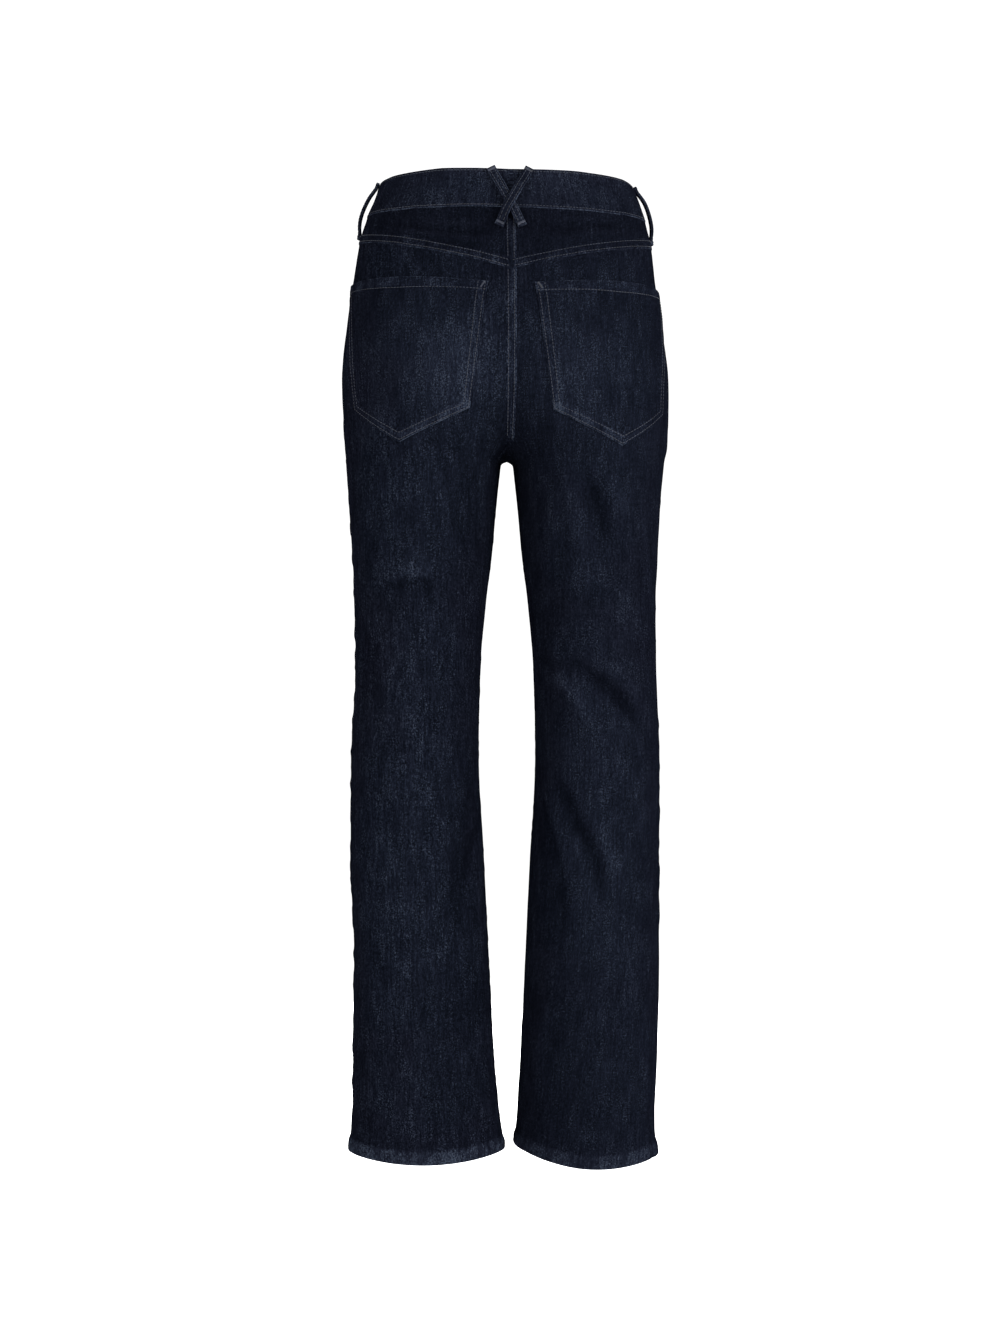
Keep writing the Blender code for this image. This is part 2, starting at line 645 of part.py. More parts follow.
def make_back(side):
    """Back panel, with its half of the centre seam's band, and the patch pocket sewn on it."""
    top = yoke_line(side, centre_fell_shares(side), -HALF_GAP)
    top[0, 0] += HALF_GAP
    outline = panel_outline(side, "back", top, YOKE_SIDE - HALF_GAP, YOKE_CENTRE - HALF_GAP)
    edge, hem_upper, hem_lower = pocket_lines(side)
    lines = [*hem_lines(side, "back"), edge, hem_upper, hem_lower]
    lines += centre_fell_lines(side, top, (0.0, FELL_END))
    pattern = fill(outline, lines, fork_points(side, "back"))
    outer, inner = panel_walls(side, "back", pattern[0])
    outer = outer + TURNING * centre_fell(side, pattern[0])
    cloth("back_" + side, side, "back", pattern, DENIM, outer, inner)

    patch = keep(pattern, inside(middles(pattern), edge[:-1]))
    below = np.interp(patch[0][:, 0], hem_upper[:, 0], hem_upper[:, 1]) - patch[0][:, 1]
    turned = TURNING * (1 - ease(ON_LINE, HEM_STEP - ON_LINE, below))
    under = WALL / 2 + GAP
    cloth("pocket_" + side, side, "back", patch, DENIM_LIGHT, under + WALL + turned, under)


def make_yoke(side):
    """The yoke, with the band along its lower edge and its half of the centre seam's band."""
    shares = centre_fell_shares(side)
    top = waist_line(side, "back", shares)
    bottom = yoke_line(side, shares, HALF_GAP)
    top[0, 0] = bottom[0, 0] = HALF_GAP
    rises = (FELL_WIDTH - FELL_STEP, FELL_WIDTH)
    stops = [bottom[-1, 1], *(bottom[-1, 1] + rise for rise in rises), top[-1, 1]]
    heights = np.concatenate([between(a, b, SEAT_STEP)[:-1] for a, b in zip(stops, stops[1:])])
    centre = centre_edge(side, "back", heights[1:])
    lines = []
    for rise in rises:
        band = bottom + [0.0, rise]
        band[:, 0] = shares * full_width(side, "back", band[:, 1])
        band[0, 0] = HALF_GAP
        band[-1] = centre[np.argmin(np.abs(centre[:, 1] - band[-1, 1]))]
        lines.append(band)
    outline = np.vstack([bottom, centre, top[::-1], [(HALF_GAP, line[0, 1]) for line in lines[::-1]]])
    upright = centre_fell_lines(side, top, bottom[-2])
    for line, end in zip(upright, (bottom[-3], bottom[-2])):
        line[-1] = end
    pattern = fill(outline, lines + upright)
    points = pattern[0]
    above = points[:, 1] - np.interp(points[:, 0], bottom[:, 0], bottom[:, 1])
    turned = 1 - ease(FELL_WIDTH - FELL_STEP + ON_LINE, FELL_WIDTH - ON_LINE, above)
    turned = np.maximum(turned, centre_fell(side, points))
    cloth("yoke_" + side, side, "back", pattern, DENIM, WALL / 2 + TURNING * turned)


def scoop_curve(side, extra=0.0):
    """The front pocket's opening, from the waist seam round to the side seam."""
    width = SCOOP_WIDTH * full_width(side, "front", WAIST_SEAM)[0] + extra
    depth = SCOOP_DEPTH + extra
    turn = np.linspace(0.0, 1.0, SCOOP_POINTS) * math.pi / 2
    across = width * np.cos(turn) ** SCOOP_ACROSS
    drop = depth * np.sin(turn) ** SCOOP_DOWN
    shares = across / full_width(side, "front", WAIST_SEAM - drop)
    heights = WAIST_SEAM - HALF_GAP + waist_shift("front", shares) * (1 - drop / depth) - drop
    heights[-1] = WAIST_SEAM - depth
    across[-1] = HALF_GAP
    return np.stack([across, heights], axis=1)


def front_top_shares(side):
    """Shares along the front's waist seam, with a point where each pocket edge meets it."""
    width = full_width(side, "front", WAIST_SEAM)[0]
    first = SCOOP_WIDTH
    second = SCOOP_WIDTH + FACING_UNDERLAP / width
    stops = [0.0, first, second, 1 - FLY_WIDTH / width, 1 - ZIP_WIDTH / width, 1.0]
    step = ACROSS_STEP / width
    return np.concatenate([between(a, b, step)[:-1] for a, b in zip(stops, stops[1:])] + [[1.0]])


def fly_lines(side):
    """Edges of the fly shield and of the zip, from the waist seam down and round to the centre seam."""
    lines = []
    for width, length in ((FLY_WIDTH, FLY_LENGTH), (ZIP_WIDTH, ZIP_LENGTH)):
        turn = np.linspace(0.0, 1.0, 5) * math.pi / 2
        bottom = WAIST_SEAM - FRONT_DIP - length
        down = between(WAIST_SEAM - HALF_GAP, bottom + width, SEAT_STEP)
        heights = np.concatenate([down[:-1], bottom + width * (1 - np.sin(turn))])
        from_centre = np.concatenate([np.full(len(down) - 1, width), width * np.cos(turn)])
        across = full_width(side, "front", heights) - from_centre
        lines.append(np.stack([across, heights], axis=1))
    return lines


def fly_stops():
    """Heights at which the fly shield and the zip end on the centre seam."""
    return [WAIST_SEAM - FRONT_DIP - length for length in (ZIP_LENGTH, FLY_LENGTH)]


def left_of(pattern, line, corner):
    """Which triangles lie between a line from the waist seam and a corner, given as (height, across)."""
    above, beside = corner
    return inside(middles(pattern), np.vstack([line[:1] + [[0, ABOVE_WAIST]], line, [[beside, line[-1, 1]]],
                                               [[beside, above + ABOVE_WAIST]]]))


def make_front(side):
    """Front panel, with the facing that shows in its pocket opening, and the fly on the left one."""
    shares = front_top_shares(side)
    top = waist_line(side, "front", shares)
    top[0, 0] = HALF_GAP
    outline = panel_outline(side, "front", top, WAIST_SEAM + GAP, top[-1, 1], fly_stops())
    outline = outline[np.append(True, np.linalg.norm(np.diff(outline, axis=0), axis=1) > 0.01)]
    edges = [scoop_curve(side), scoop_curve(side, FACING_UNDERLAP)]
    if side == "left":
        edges += fly_lines(side)
    for edge in edges:
        edge[0] = top[np.argmin(np.abs(top[:, 0] - edge[0, 0]))]
    for edge in edges[2:]:
        edge[-1] = outline[np.argmin(np.linalg.norm(outline - edge[-1], axis=1))]
    pattern = fill(outline, [*hem_lines(side, "front"), *edges], fork_points(side, "front"))

    outer_corner, inner_corner = (WAIST_SEAM, BEYOND_SIDE), (WAIST_SEAM, BEYOND_CENTRE)
    panel = keep(pattern, ~left_of(pattern, edges[0], outer_corner))
    cloth("front_" + side, side, "front", panel, DENIM, *panel_walls(side, "front", panel[0]))
    under = -WALL / 2 - GAP
    facing = keep(pattern, left_of(pattern, edges[1], outer_corner))
    cloth("pocket_facing_" + side, side, "front", facing, DENIM, under, under - WALL)
    if side == "left":
        shield = keep(pattern, left_of(pattern, edges[2], inner_corner))
        tape = keep(pattern, left_of(pattern, edges[3], inner_corner))
        cloth("fly_zip", side, "front", tape, ZIP_BRASS, under, under - ZIP_WALL)
        behind = under - ZIP_WALL - GAP
        cloth("fly_shield", side, "front", shield, DENIM, behind, behind - WALL)


def strip_triangles(stations, rows):
    """Triangles of a grid of stations, each a line of rows."""
    triangles = []
    for station in range(stations - 1):
        for row in range(rows - 1):
            corner = station * rows + row
            triangles.append((corner, corner + 1, corner + rows))
            triangles.append((corner + 1, corner + rows + 1, corner + rows))
    return np.array(triangles)


def band_stations():
    """Places round the waistband from its left end to its underlap: side, face, share and step in."""
    width = full_width("left", "front", 0.0)[0]
    under = BAND_WALL + GAP
    lap = [1 - distance / width for distance in LAP_STEP]
    stations = [("left", "front", share, 0.0) for share in front_top_shares("left")[::-1]]
    stations += [("left", "back", share, 0.0) for share in even_shares("left", "back", YOKE_CENTRE)[1:]]
    back = even_shares("right", "back", YOKE_CENTRE)[::-1]
    stations += [("right", "back", share, 0.0) for share in back[1:]]
    front = front_top_shares("right")[1:-1]
    stations += [("right", "front", share, 0.0) for share in front[front < lap[0]]]
    stations += [("right", "front", lap[0], 0.0), ("right", "front", lap[1], -under)]
    stations += [("left", "front", 1 - distance / width, -under) for distance in UNDERLAP]
    return stations


def make_waistband():
    """The band round the waist, whose left end laps over its right end at the front."""
    stations = band_stations()
    layers = {BAND_WALL / 2: [], -BAND_WALL / 2: []}
    for side, face, share, step_in in stations:
        shift = waist_shift(face, share)
        heights = np.linspace(WAIST_SEAM + HALF_GAP, BAND_TOP, BAND_ROWS) + shift
        across = share * full_width(side, face, heights)
        for offset, points in layers.items():
            points.append(wrap(side, face, across, heights, offset + step_in))
    outer, inner = (np.concatenate(points) for points in layers.values())
    band = solid("waistband", outer, inner, strip_triangles(len(stations), BAND_ROWS), DENIM)
    cut_buttonhole(band)


def band_point(from_end, out):
    """A point at the middle of the waistband's height, a distance from its left end."""
    height = np.array([(WAIST_SEAM + BAND_TOP) / 2 - FRONT_DIP])
    across = full_width("left", "front", height) - from_end
    return Vector(wrap("left", "front", across, height, out)[0])


def cut_buttonhole(band):
    """Cut a slot with round ends through the left end of the band, down to the underlap."""
    middle = BUTTON_FROM_END + (BUTTONHOLE_LENGTH - BUTTONHOLE_WIDTH) / 2
    height = (WAIST_SEAM + BAND_TOP) / 2 - FRONT_DIP
    turn = np.linspace(0, math.pi, 7)
    radius = BUTTONHOLE_WIDTH / 2
    right = np.stack([radius * np.sin(turn) + BUTTONHOLE_LENGTH / 2 - radius, radius * np.cos(turn)], axis=1)
    slot = np.vstack([right, -right]) + np.array([-middle, height])
    slot[:, 0] += full_width("left", "front", slot[:, 1])
    fan = np.array([(0, i, i + 1) for i in range(1, len(slot) - 1)])
    cutter = cloth("buttonhole_cutter", "left", "front", (slot, fan), DENIM, BUTTONHOLE_CUT,
                   -BAND_WALL / 2 - HALF_GAP)
    cutter.hide_render = True
    cutter.display_type = "WIRE"
    hole = band.modifiers.new("Buttonhole", "BOOLEAN")
    hole.operation = "DIFFERENCE"
    hole.solver = "EXACT"
    hole.object = cutter


def make_button():
    """A shank button: its head stands on the left end, and its shank reaches through to the underlap."""
    base, seat = -BAND_WALL / 2 + GAP, BAND_WALL / 2 + BUTTON_STAND
    profile = [(0, base), (SHANK_RADIUS, base), (SHANK_RADIUS, seat)]
    profile += [(radius, seat + height) for radius, height in BUTTON_HEAD]
    mesh = bpy.data.meshes.new("button")
    turned = bmesh.new()
    points = [turned.verts.new((radius, 0, height)) for radius, height in profile]
    edges = [turned.edges.new(pair) for pair in zip(points, points[1:])]
    bmesh.ops.spin(turned, geom=points + edges, axis=(0, 0, 1), cent=(0, 0, 0), angle=2 * math.pi,
                   steps=BUTTON_SIDES, use_merge=True)
    bmesh.ops.remove_doubles(turned, verts=turned.verts, dist=0.01)
    bmesh.ops.recalc_face_normals(turned, faces=turned.faces)
    foot = band_point(BUTTON_FROM_END, 0.0)
    outward = band_point(BUTTON_FROM_END, 1.0) - foot
    turned.transform(Matrix.Translation(foot) @ outward.to_track_quat("Z", "Y").to_matrix().to_4x4())
    turned.transform(Matrix.Scale(METRE, 4))
    turned.to_mesh(mesh)
    turned.free()
    add_object("button", mesh, BUTTON_METAL)


def make_loop(name, path, lift=0.0):
    """A belt loop: a strip tacked at both ends that stands off the band between them.

    Path gives the side, face, across and height of a share along the loop and a distance from its middle
    line.  Lift carries the loop over another one.
    """
    outer, inner = [], []
    for along, stand in LOOP_SHAPE:
        extra = lift * ease(*LOOP_CROSS, along) * (1 - ease(*LOOP_CROSSED, along))
        for edge in (-LOOP_WIDTH / 2, LOOP_WIDTH / 2):
            side, face, across, height = path(along, edge)
            below = WALL / 2 + (TURNING if face == "back" else 0.0)
            base = below + (BAND_WALL / 2 - below) * ease(WAIST_SEAM - LOOP_SETTLE, WAIST_SEAM, height)
            near = base + GAP + stand * LOOP_STAND + extra
            for layer, out in ((outer, near + LOOP_WALL), (inner, near)):
                layer.append(wrap(side, face, [across], np.array([height]), out)[0])
    solid(name, np.array(outer), np.array(inner), strip_triangles(len(LOOP_SHAPE), 2), DENIM)


def centre_path(top, bottom):
    """Path of a back loop between signed distances from the centre seam, the left side positive."""
    slant = math.atan2(bottom - top, LOOP_LENGTH)

    def path(along, edge):
        height = BAND_TOP + LOOP_OVER + BACK_RISE - LOOP_LENGTH * along + edge * math.sin(slant)
        distance = top + (bottom - top) * along + edge * math.cos(slant)
        side = "left" if distance > 0 else "right"
        return side, "back", full_width(side, "back", height)[0] - abs(distance), height
    return path


def upright_path(side, face, share):
    """Path of an upright loop at a share of the way from the side seam to the centre."""
    def path(along, edge):
        height = BAND_TOP + LOOP_OVER + float(waist_shift(face, share)) - LOOP_LENGTH * along
        across = share * full_width(side, face, WAIST_SEAM)[0] + LOOP_WIDTH / 2 + LOOP_ASIDE + edge
        return side, face, across, height
    return path


def make_loops():
    make_loop("loop_back_left", centre_path(LOOP_BACK_TOP, -LOOP_BACK_BOTTOM))
    make_loop("loop_back_right", centre_path(-LOOP_BACK_TOP, LOOP_BACK_BOTTOM), LOOP_WALL + 2 * GAP)
    for side in SIDES:
        make_loop("loop_side_" + side, upright_path(side, "back", 0.0))
        make_loop("loop_front_" + side, upright_path(side, "front", FRONT_LOOP_SHARE))


def main():
    for old in list(bpy.data.objects):
        bpy.data.objects.remove(old, do_unlink=True)
    for side in SIDES:
        make_back(side)
        make_yoke(side)
        make_front(side)
    make_waistband()
    make_button()
    make_loops()


main()
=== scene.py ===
"""Straight leg jeans in dark rinse denim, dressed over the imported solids.

Every piece of cloth is the same flat pattern as its solid, of (across, height) in millimetres, wrapped on the
same sections, but finer: with creases, seam pucker, turned edges, stitches and a woven surface.
"""
import math

import bpy
import numpy as np
from mathutils import Matrix, Vector


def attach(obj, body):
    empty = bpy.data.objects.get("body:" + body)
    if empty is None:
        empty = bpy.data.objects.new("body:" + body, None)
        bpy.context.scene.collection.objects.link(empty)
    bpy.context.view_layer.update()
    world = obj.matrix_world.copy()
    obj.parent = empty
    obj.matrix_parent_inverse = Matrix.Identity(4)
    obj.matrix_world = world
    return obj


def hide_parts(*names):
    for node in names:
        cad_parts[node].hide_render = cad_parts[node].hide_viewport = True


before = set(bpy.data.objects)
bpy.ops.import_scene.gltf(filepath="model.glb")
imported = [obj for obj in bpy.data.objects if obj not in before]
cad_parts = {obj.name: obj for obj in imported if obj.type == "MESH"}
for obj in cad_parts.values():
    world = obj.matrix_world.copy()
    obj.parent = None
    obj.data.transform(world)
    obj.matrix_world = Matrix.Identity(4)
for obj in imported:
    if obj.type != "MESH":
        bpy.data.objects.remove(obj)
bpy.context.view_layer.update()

METRE = 0.001
TINY = 1e-9                 # keeps a length from being zero

# ---------------------------------------------------------------- sizes in millimetres, like the solids' own

WALL = 1.2
GAP = 0.3
SEAM_OVERLAP = 0.25         # each panel reaches this far past its seams, so that no light comes through
BAND_WALL = 2.6
LOOP_WALL = 3.2
TURNING = 0.8

BAND_TOP = 19.0
WAIST_SEAM = -20.5
BAND_TALL = BAND_TOP - WAIST_SEAM
BACK_RISE = 2.0
FRONT_DIP = 11.0
BAND_MIDDLE = (WAIST_SEAM + BAND_TOP) / 2 - FRONT_DIP     # at the centre front
YOKE_SIDE = -48.0
YOKE_CENTRE = -83.5
YOKE_SWEEP = 1.65
CROTCH = -267.5
HEM = -982.0
HEM_BACK_DROP = 7.5
HEM_FRONT_RISE = 4.0
HEM_OUTER_DROP = 1.5
HEM_TILT = {"left": 0.0, "right": 4.0}    # the back hem hangs lower towards the side seam
HEM_DEPTH = 14.0
LEAN = 0.014
SADDLE = 8.0
POWER = 2.15

# Level sections: a leg's edges, its centre, its depths to front and back of its widest place, and the right
# leg's turn in degrees
COLUMNS = ("height", "outer_left", "outer_right", "centre", "inner", "front", "wide_y", "back", "turn")
LEVELS = (
    (40, 124, 122, 8, -110, -81, 2, 82, 0),
    (19, 130, 129, 8, -110, -82, 5, 83, 0),
    (0, 136, 136, 8, -110, -84, 9, 85, 0),
    (-19, 144, 142, 8, -110, -88, 13, 89, 0),
    (-45, 152, 148, 12, -100, -94, 18, 99, 0),
    (-83, 158, 151.5, 24, -88, -100, 23, 112, 0),
    (-130, 164.5, 158, 42, -74, -105, 24, 123, 0),
    (-185, 170, 164.5, 61, -55, -106, 20, 128, 0),
    (-230, 169, 165, 75, -20, -103, 9, 122, 0),
    (-252, 168.5, 165, 80, -5, -101, -1, 116, 0),
    (-267.5, 167.2, 162.7, 82.6, 8, -98.5, -5.5, 109, 0),
    (-271.5, 166.8, 162.4, 83.2, 10.4, -98, -6, 107.5, 0),
    (-282, 166, 161.5, 84, 11.4, -97, -6, 104.6, 0),
    (-313, 164, 159, 87, 14, -94, -5, 95, 0),
    (-365, 160.5, 156, 89, 18, -89, -3, 85, 0),
    (-417, 158, 154, 91, 24, -84, -1, 77, 0),
    (-480, 157, 154.5, 93, 29, -78, 0, 71, 0),
    (-573, 161.5, 158, 96, 31, -71, 0, 70, 0),
    (-677, 162, 158, 95, 26, -66, 1, 72, -6),
    (-781, 158.5, 157.5, 89, 21, -62, 0, 66, -13),
    (-885, 160, 156, 87, 16, -59, 0, 60, -21),
    (-940, 160, 153.5, 85.5, 12, -58, 0, 58, -26),
    (-985, 163, 157, 85, 9, -57, 0, 58, -30),
    (-1010, 164, 158, 85, 9, -57, 0, 58, -31),
)
SIDE_SEAM_Y = 0.0
SAMPLES = 120

# The large folds: their middle as a share of the width and a height, half length, half width, tilt and rise
FOLD_COLUMNS = ("across", "height", "length", "width", "tilt", "rise")
FOLDS = {
    ("right", "back"): (
        (0.45, -508, 44, 13, 48, -4.5),
        (0.67, -505, 36, 14, 36, 3.0),
        (0.50, -316, 40, 13, 30, -3.0),
        (0.67, -338, 34, 14, 20, 2.5),
        (0.59, -652, 54, 12, 27, -3.5),
        (0.74, -690, 70, 12, 20, -3.5),
    ),
    ("left", "back"): (
        (0.42, -384, 15, 42, 0, 2.5),
        (0.44, -405, 12, 40, 0, -3.0),
        (0.70, -315, 48, 12, 0, -2.5),
        (0.715, -672, 66, 12, 17, -3.5),
        (0.24, -505, 58, 12, -11, -2.5),
    ),
    ("left", "front"): (
        (0.55, -545, 14, 44, 10, -3.0),
        (0.48, -580, 16, 46, -8, 3.0),
        (0.78, -256, 40, 13, 62, -3.5),
    ),
    ("right", "front"): (
        (0.50, -560, 15, 46, -12, -3.0),
        (0.55, -520, 16, 44, 8, 3.0),
        (0.78, -252, 40, 13, 62, -3.5),
    ),
}

FELL_HALF = 5.2
FELL_END = CROTCH + 12.0
POCKET_TOP_INNER = (24.0, -98.0)
POCKET_LOW_INNER = (47.0, -223.5)
POCKET_POINT = (138.0, -258.0)
POCKET_LOW_OUTER = (180.0, -224.0)
POCKET_TOP_OUTER = (196.0, -94.0)
POCKET_HEM = 11.0
SCOOP_WIDTH = 0.46
SCOOP_DEPTH = 84.0
SCOOP_ROUND_ACROSS = 0.8    # powers that make the opening squarer than a quarter of an ellipse
SCOOP_ROUND_DOWN = 1.15
FACING_UNDERLAP = 15.0
FLY_WIDTH = 38.0
FLY_LENGTH = 165.0
FLY_TOP = WAIST_SEAM - FRONT_DIP
ZIP_WIDTH = 14.0
ZIP_LENGTH = 145.0
ZIP_WALL = 1.0
BAND_UNDERLAP = 36.0
LAP_LENGTH = 12.0           # the right end steps in behind the left one over this length
LAP_BEND = 9.0
LOOP_WIDTH = 9.0
LOOP_LENGTH = 62.0
LOOP_STAND = 4.8
LOOP_BACK_TOP = 19.5
LOOP_BACK_BOTTOM = 12.0
LOOP_BULGE = (LOOP_WALL + 0.6, 0.15)    # how far the upper loop clears the lower one, and from what share
FRONT_LOOP_SHARE = 0.55
LOOP_SHAPE = ((0, 0), (0.08, 0), (0.18, 0.45), (0.28, 0.85), (0.40, 1), (0.55, 1), (0.68, 0.9),
              (0.80, 0.55), (0.91, 0), (1, 0))
BUTTON_RADIUS = 8.5
BUTTON_FROM_END = 13.0
BUTTON_STAND = 0.9
SHANK_RADIUS = 2.3
BUTTONHOLE_LENGTH = 17.0
BUTTONHOLE_WIDTH = 5.6
SLOT_RADIUS = BUTTONHOLE_WIDTH / 2
SLOT_HALF = BUTTONHOLE_LENGTH / 2 - SLOT_RADIUS       # of its straight stretch
SLOT_MIDDLE = BUTTON_FROM_END + SLOT_HALF

# ---------------------------------------------------------------- what this script adds

# Spacing of the points, and how finely the sections' widths are listed
CLOTH_STEP = 3.3
PATCH_STEP = 2.3
WIDTH_STEP = 0.5
GRAIN_PLACE = 85.0          # the yarn that hangs upright is this far from the body's middle
CHUNK = 20000               # points placed at a time

# Distances of the rows and columns that lie close to an edge
SIDE_POINTS = (0.0, 1.0, 2.2, 3.8, 6.0, 8.6)
CENTRE_POINTS = (9.0, 7.0, 5.9, 5.3, 4.8, 4.2, 3.2, 1.8, 0.0)
PANEL_TOP_POINTS = (0.0, 0.8, 1.8, 3.0, 5.0, 7.5, 10.0)
FORK_ABOVE_POINTS = (12.0, 8.0, 5.0, 2.6, 1.0, 0.0)
FORK_BELOW_POINTS = (0.0, 1.0, 2.4, 4.2, 6.5, 9.0, 12.0)
HEM_POINTS = (18.0, 16.0, 15.0, 14.0, 12.5, 10.5, 8.0, 5.5, 3.0, 1.2, 0.0)
YOKE_SEAM_POINTS = (0.0, 0.7, 1.5, 2.4, 4.0, 6.5, 7.6, 8.8, 10.0, 11.0)
YOKE_TOP_POINTS = (5.0, 3.0, 1.2, 0.0)
POCKET_EDGE_POINTS = (0.0, 0.6, 1.3, 2.2, 4.0, 6.4, 8.0, 9.4, 10.6)
BAND_EDGE_POINTS = (0.0, 0.5, 1.2, 2.0, 3.0)
BUTTONHOLE_REACH = 30.0     # the band's points are finer so far from its left end
BUTTONHOLE_STEP = 1.1
LOOP_EDGE_POINTS = (-4.5, -4.2, -3.6, -2.9, -2.2, -1.1, 0.0, 1.1, 2.2, 2.9, 3.6, 4.2, 4.5)

# Where a piece's columns are counted, and the lengths that its rows are spread over
SEAT_MIDDLE = -150.0
SEAT_LENGTH = 190.0
YOKE_MIDDLE = -50.0
YOKE_LENGTH = 45.0
POCKET_WIDTH = 142.0
POCKET_LENGTH = 140.0

# Creases: shares of the panel's width and heights of both ends, how far the middle bows to the inseam,
# half width and rise
CREASE_COLUMNS = ("share0", "height0", "share1", "height1", "bow", "width", "rise")
CREASES = {
    ("left", "back"): (
        (0.30, -407, 0.57, -399, -5, 5.0, -2.3),
        (0.33, -391, 0.52, -386, 3, 7.0, 1.2),
        (0.57, -391, 0.60, -418, 5, 4.5, 1.5),
        (0.20, -431, 0.40, -421, -4, 6.0, -1.1),
        (0.63, -258, 0.71, -372, 8, 7.0, -2.3),
        (0.57, -276, 0.63, -352, 4, 8.0, 1.4),
        (0.92, -632, 0.69, -738, 8, 7.5, -3.2),
        (0.72, -598, 0.55, -700, 5, 8.0, 1.4),
        (0.90, -676, 0.83, -748, 3, 6.0, 1.7),
        (0.176, -448, 0.285, -566, 0, 2.4, 1.4),
        (0.23, -470, 0.34, -560, -3, 5.0, -0.9),
        (0.48, -452, 0.62, -500, 4, 6.0, -0.8),
        (0.35, -610, 0.47, -690, 4, 7.0, -0.8),
        (0.20, -770, 0.27, -850, 0, 8.0, 0.8),
        (0.62, -812, 0.55, -905, 0, 8.0, -0.9),
        (0.10, -165, 0.20, -245, 5, 7.0, -1.1),
        (0.40, -33, 0.95, -45, 3, 3.6, -2.6),
        (0.52, -46, 0.90, -60, 2, 4.0, -1.6),
        (0.50, -4, 0.97, -9, 0, 4.5, -1.1),
        (0.20, 14, 0.40, 12, 0, 4.0, -0.8),
    ),
    ("right", "back"): (
        (0.90, -466, 0.60, -481, -5, 6.0, -1.9),
        (0.66, -472, 0.27, -545, 6, 5.5, -3.6),
        (0.76, -484, 0.55, -540, 5, 8.0, 2.0),
        (0.50, -470, 0.28, -514, 4, 6.0, 1.5),
        (0.43, -556, 0.26, -590, 0, 6.0, -1.1),
        (0.545, -272, 0.44, -362, 5, 6.0, -2.8),
        (0.62, -276, 0.55, -372, 4, 8.0, 1.9),
        (0.45, -282, 0.36, -352, 3, 7.0, 1.4),
        (0.28, -330, 0.20, -408, 3, 4.5, 1.5),
        (0.34, -338, 0.27, -410, 3, 5.0, -1.1),
        (0.73, -598, 0.60, -650, 4, 6.0, -2.4),
        (0.63, -634, 0.45, -712, 6, 6.0, -3.4),
        (0.56, -622, 0.40, -690, 4, 7.0, 1.8),
        (0.88, -604, 0.60, -756, 8, 6.0, -2.6),
        (0.115, -872, 0.04, -948, 0, 4.0, 1.4),
        (0.30, -775, 0.38, -860, 3, 8.0, -1.1),
        (0.66, -800, 0.72, -900, 0, 8.0, 0.9),
        (0.14, -160, 0.24, -240, 4, 7.0, -1.1),
        (0.40, -30, 0.82, -42, -2, 4.0, -1.8),
        (0.35, -7, 0.75, -3, 0, 4.5, -0.7),
    ),
    ("left", "front"): (
        (0.96, -262, 0.52, -214, 6, 6.5, -2.0),
        (0.97, -250, 0.62, -186, 5, 6.0, -1.5),
        (0.92, -282, 0.45, -262, -6, 7.0, -1.6),
        (0.30, -520, 0.66, -535, 6, 6.5, -2.0),
        (0.36, -556, 0.72, -562, -5, 6.0, -1.5),
        (0.30, -600, 0.58, -592, 4, 6.5, -1.4),
        (0.80, -620, 0.58, -730, 7, 6.5, -1.9),
        (0.28, -800, 0.40, -880, 3, 8.0, -0.9),
    ),
    ("right", "front"): (
        (0.96, -260, 0.55, -208, 6, 6.5, -1.9),
        (0.97, -246, 0.60, -180, 4, 6.0, -1.4),
        (0.93, -284, 0.42, -270, -5, 7.0, -1.6),
        (0.28, -512, 0.62, -530, 5, 6.5, -1.8),
        (0.40, -552, 0.76, -546, -5, 6.0, -1.8),
        (0.26, -590, 0.60, -604, 4, 6.5, -1.2),
        (0.76, -630, 0.52, -736, 6, 6.5, -2.2),
        (0.60, -806, 0.50, -896, 3, 8.0, -1.1),
    ),
}

# The band's top edge: face, share of the way to the centre, and shift on the left and on the right
TOP_SHIFTS = (
    ("back", 0.00, -3.5, -2.5),
    ("back", 0.25, -0.8, 0.5),
    ("back", 0.60, 1.8, 1.5),
    ("back", 1.00, 0.0, 0.0),
    ("front", 0.00, -3.5, -2.5),
    ("front", 0.25, -1.2, -0.8),
    ("front", 0.60, 0.0, 0.0),
)

# Relief: the patches of uneven cloth are given by their size across and along and their rise
UNEVEN = ((34.0, 62.0, 0.55), (13.0, 21.0, 0.22), (5.5, 8.0, 0.07))
FLAT_EDGE = 16.0            # creases and patches fade out this close to a seam
CREASE_SHOULDER = 0.32      # height of a crease's shoulders beside its own
PUCKER_REACH = 3.6          # how far seam pucker spreads from its seam
PUCKER_PITCH = 5.5
PUCKER_RISE = 0.42
SIDE_PUCKER = (7.0, 11.0, 0.85)     # reach, pitch and rise of the larger pucker down the side seams
ROPING_PITCH = 10.0         # the hem's slanting ridges
ROPING_RISE = 0.55
HEM_FLARE = 1.5             # the stiff hem stands out by this much,
HEM_FLARE_ENDS = (22.0, 2.0)            # from none to all between these distances above it
HEM_OUTSIDE = 0.75 * TURNING    # the turned hem is thicker, mostly inside
HEM_INSIDE = 1.5
POCKET_REACH = 14.0         # a pocket's stitches pucker the cloth no further from it than this
POCKET_PUCKER = 1.2
POCKET_FLARE = 0.9          # of the top edge towards the side seam
POCKET_BOW = 3.6            # of the top edge
BAND_RELIEF = 0.75          # the stiff band takes less of the relief
DENT_DEPTH = 0.22           # of a row of stitches in a thick edge
DENT_WIDTH = 0.9
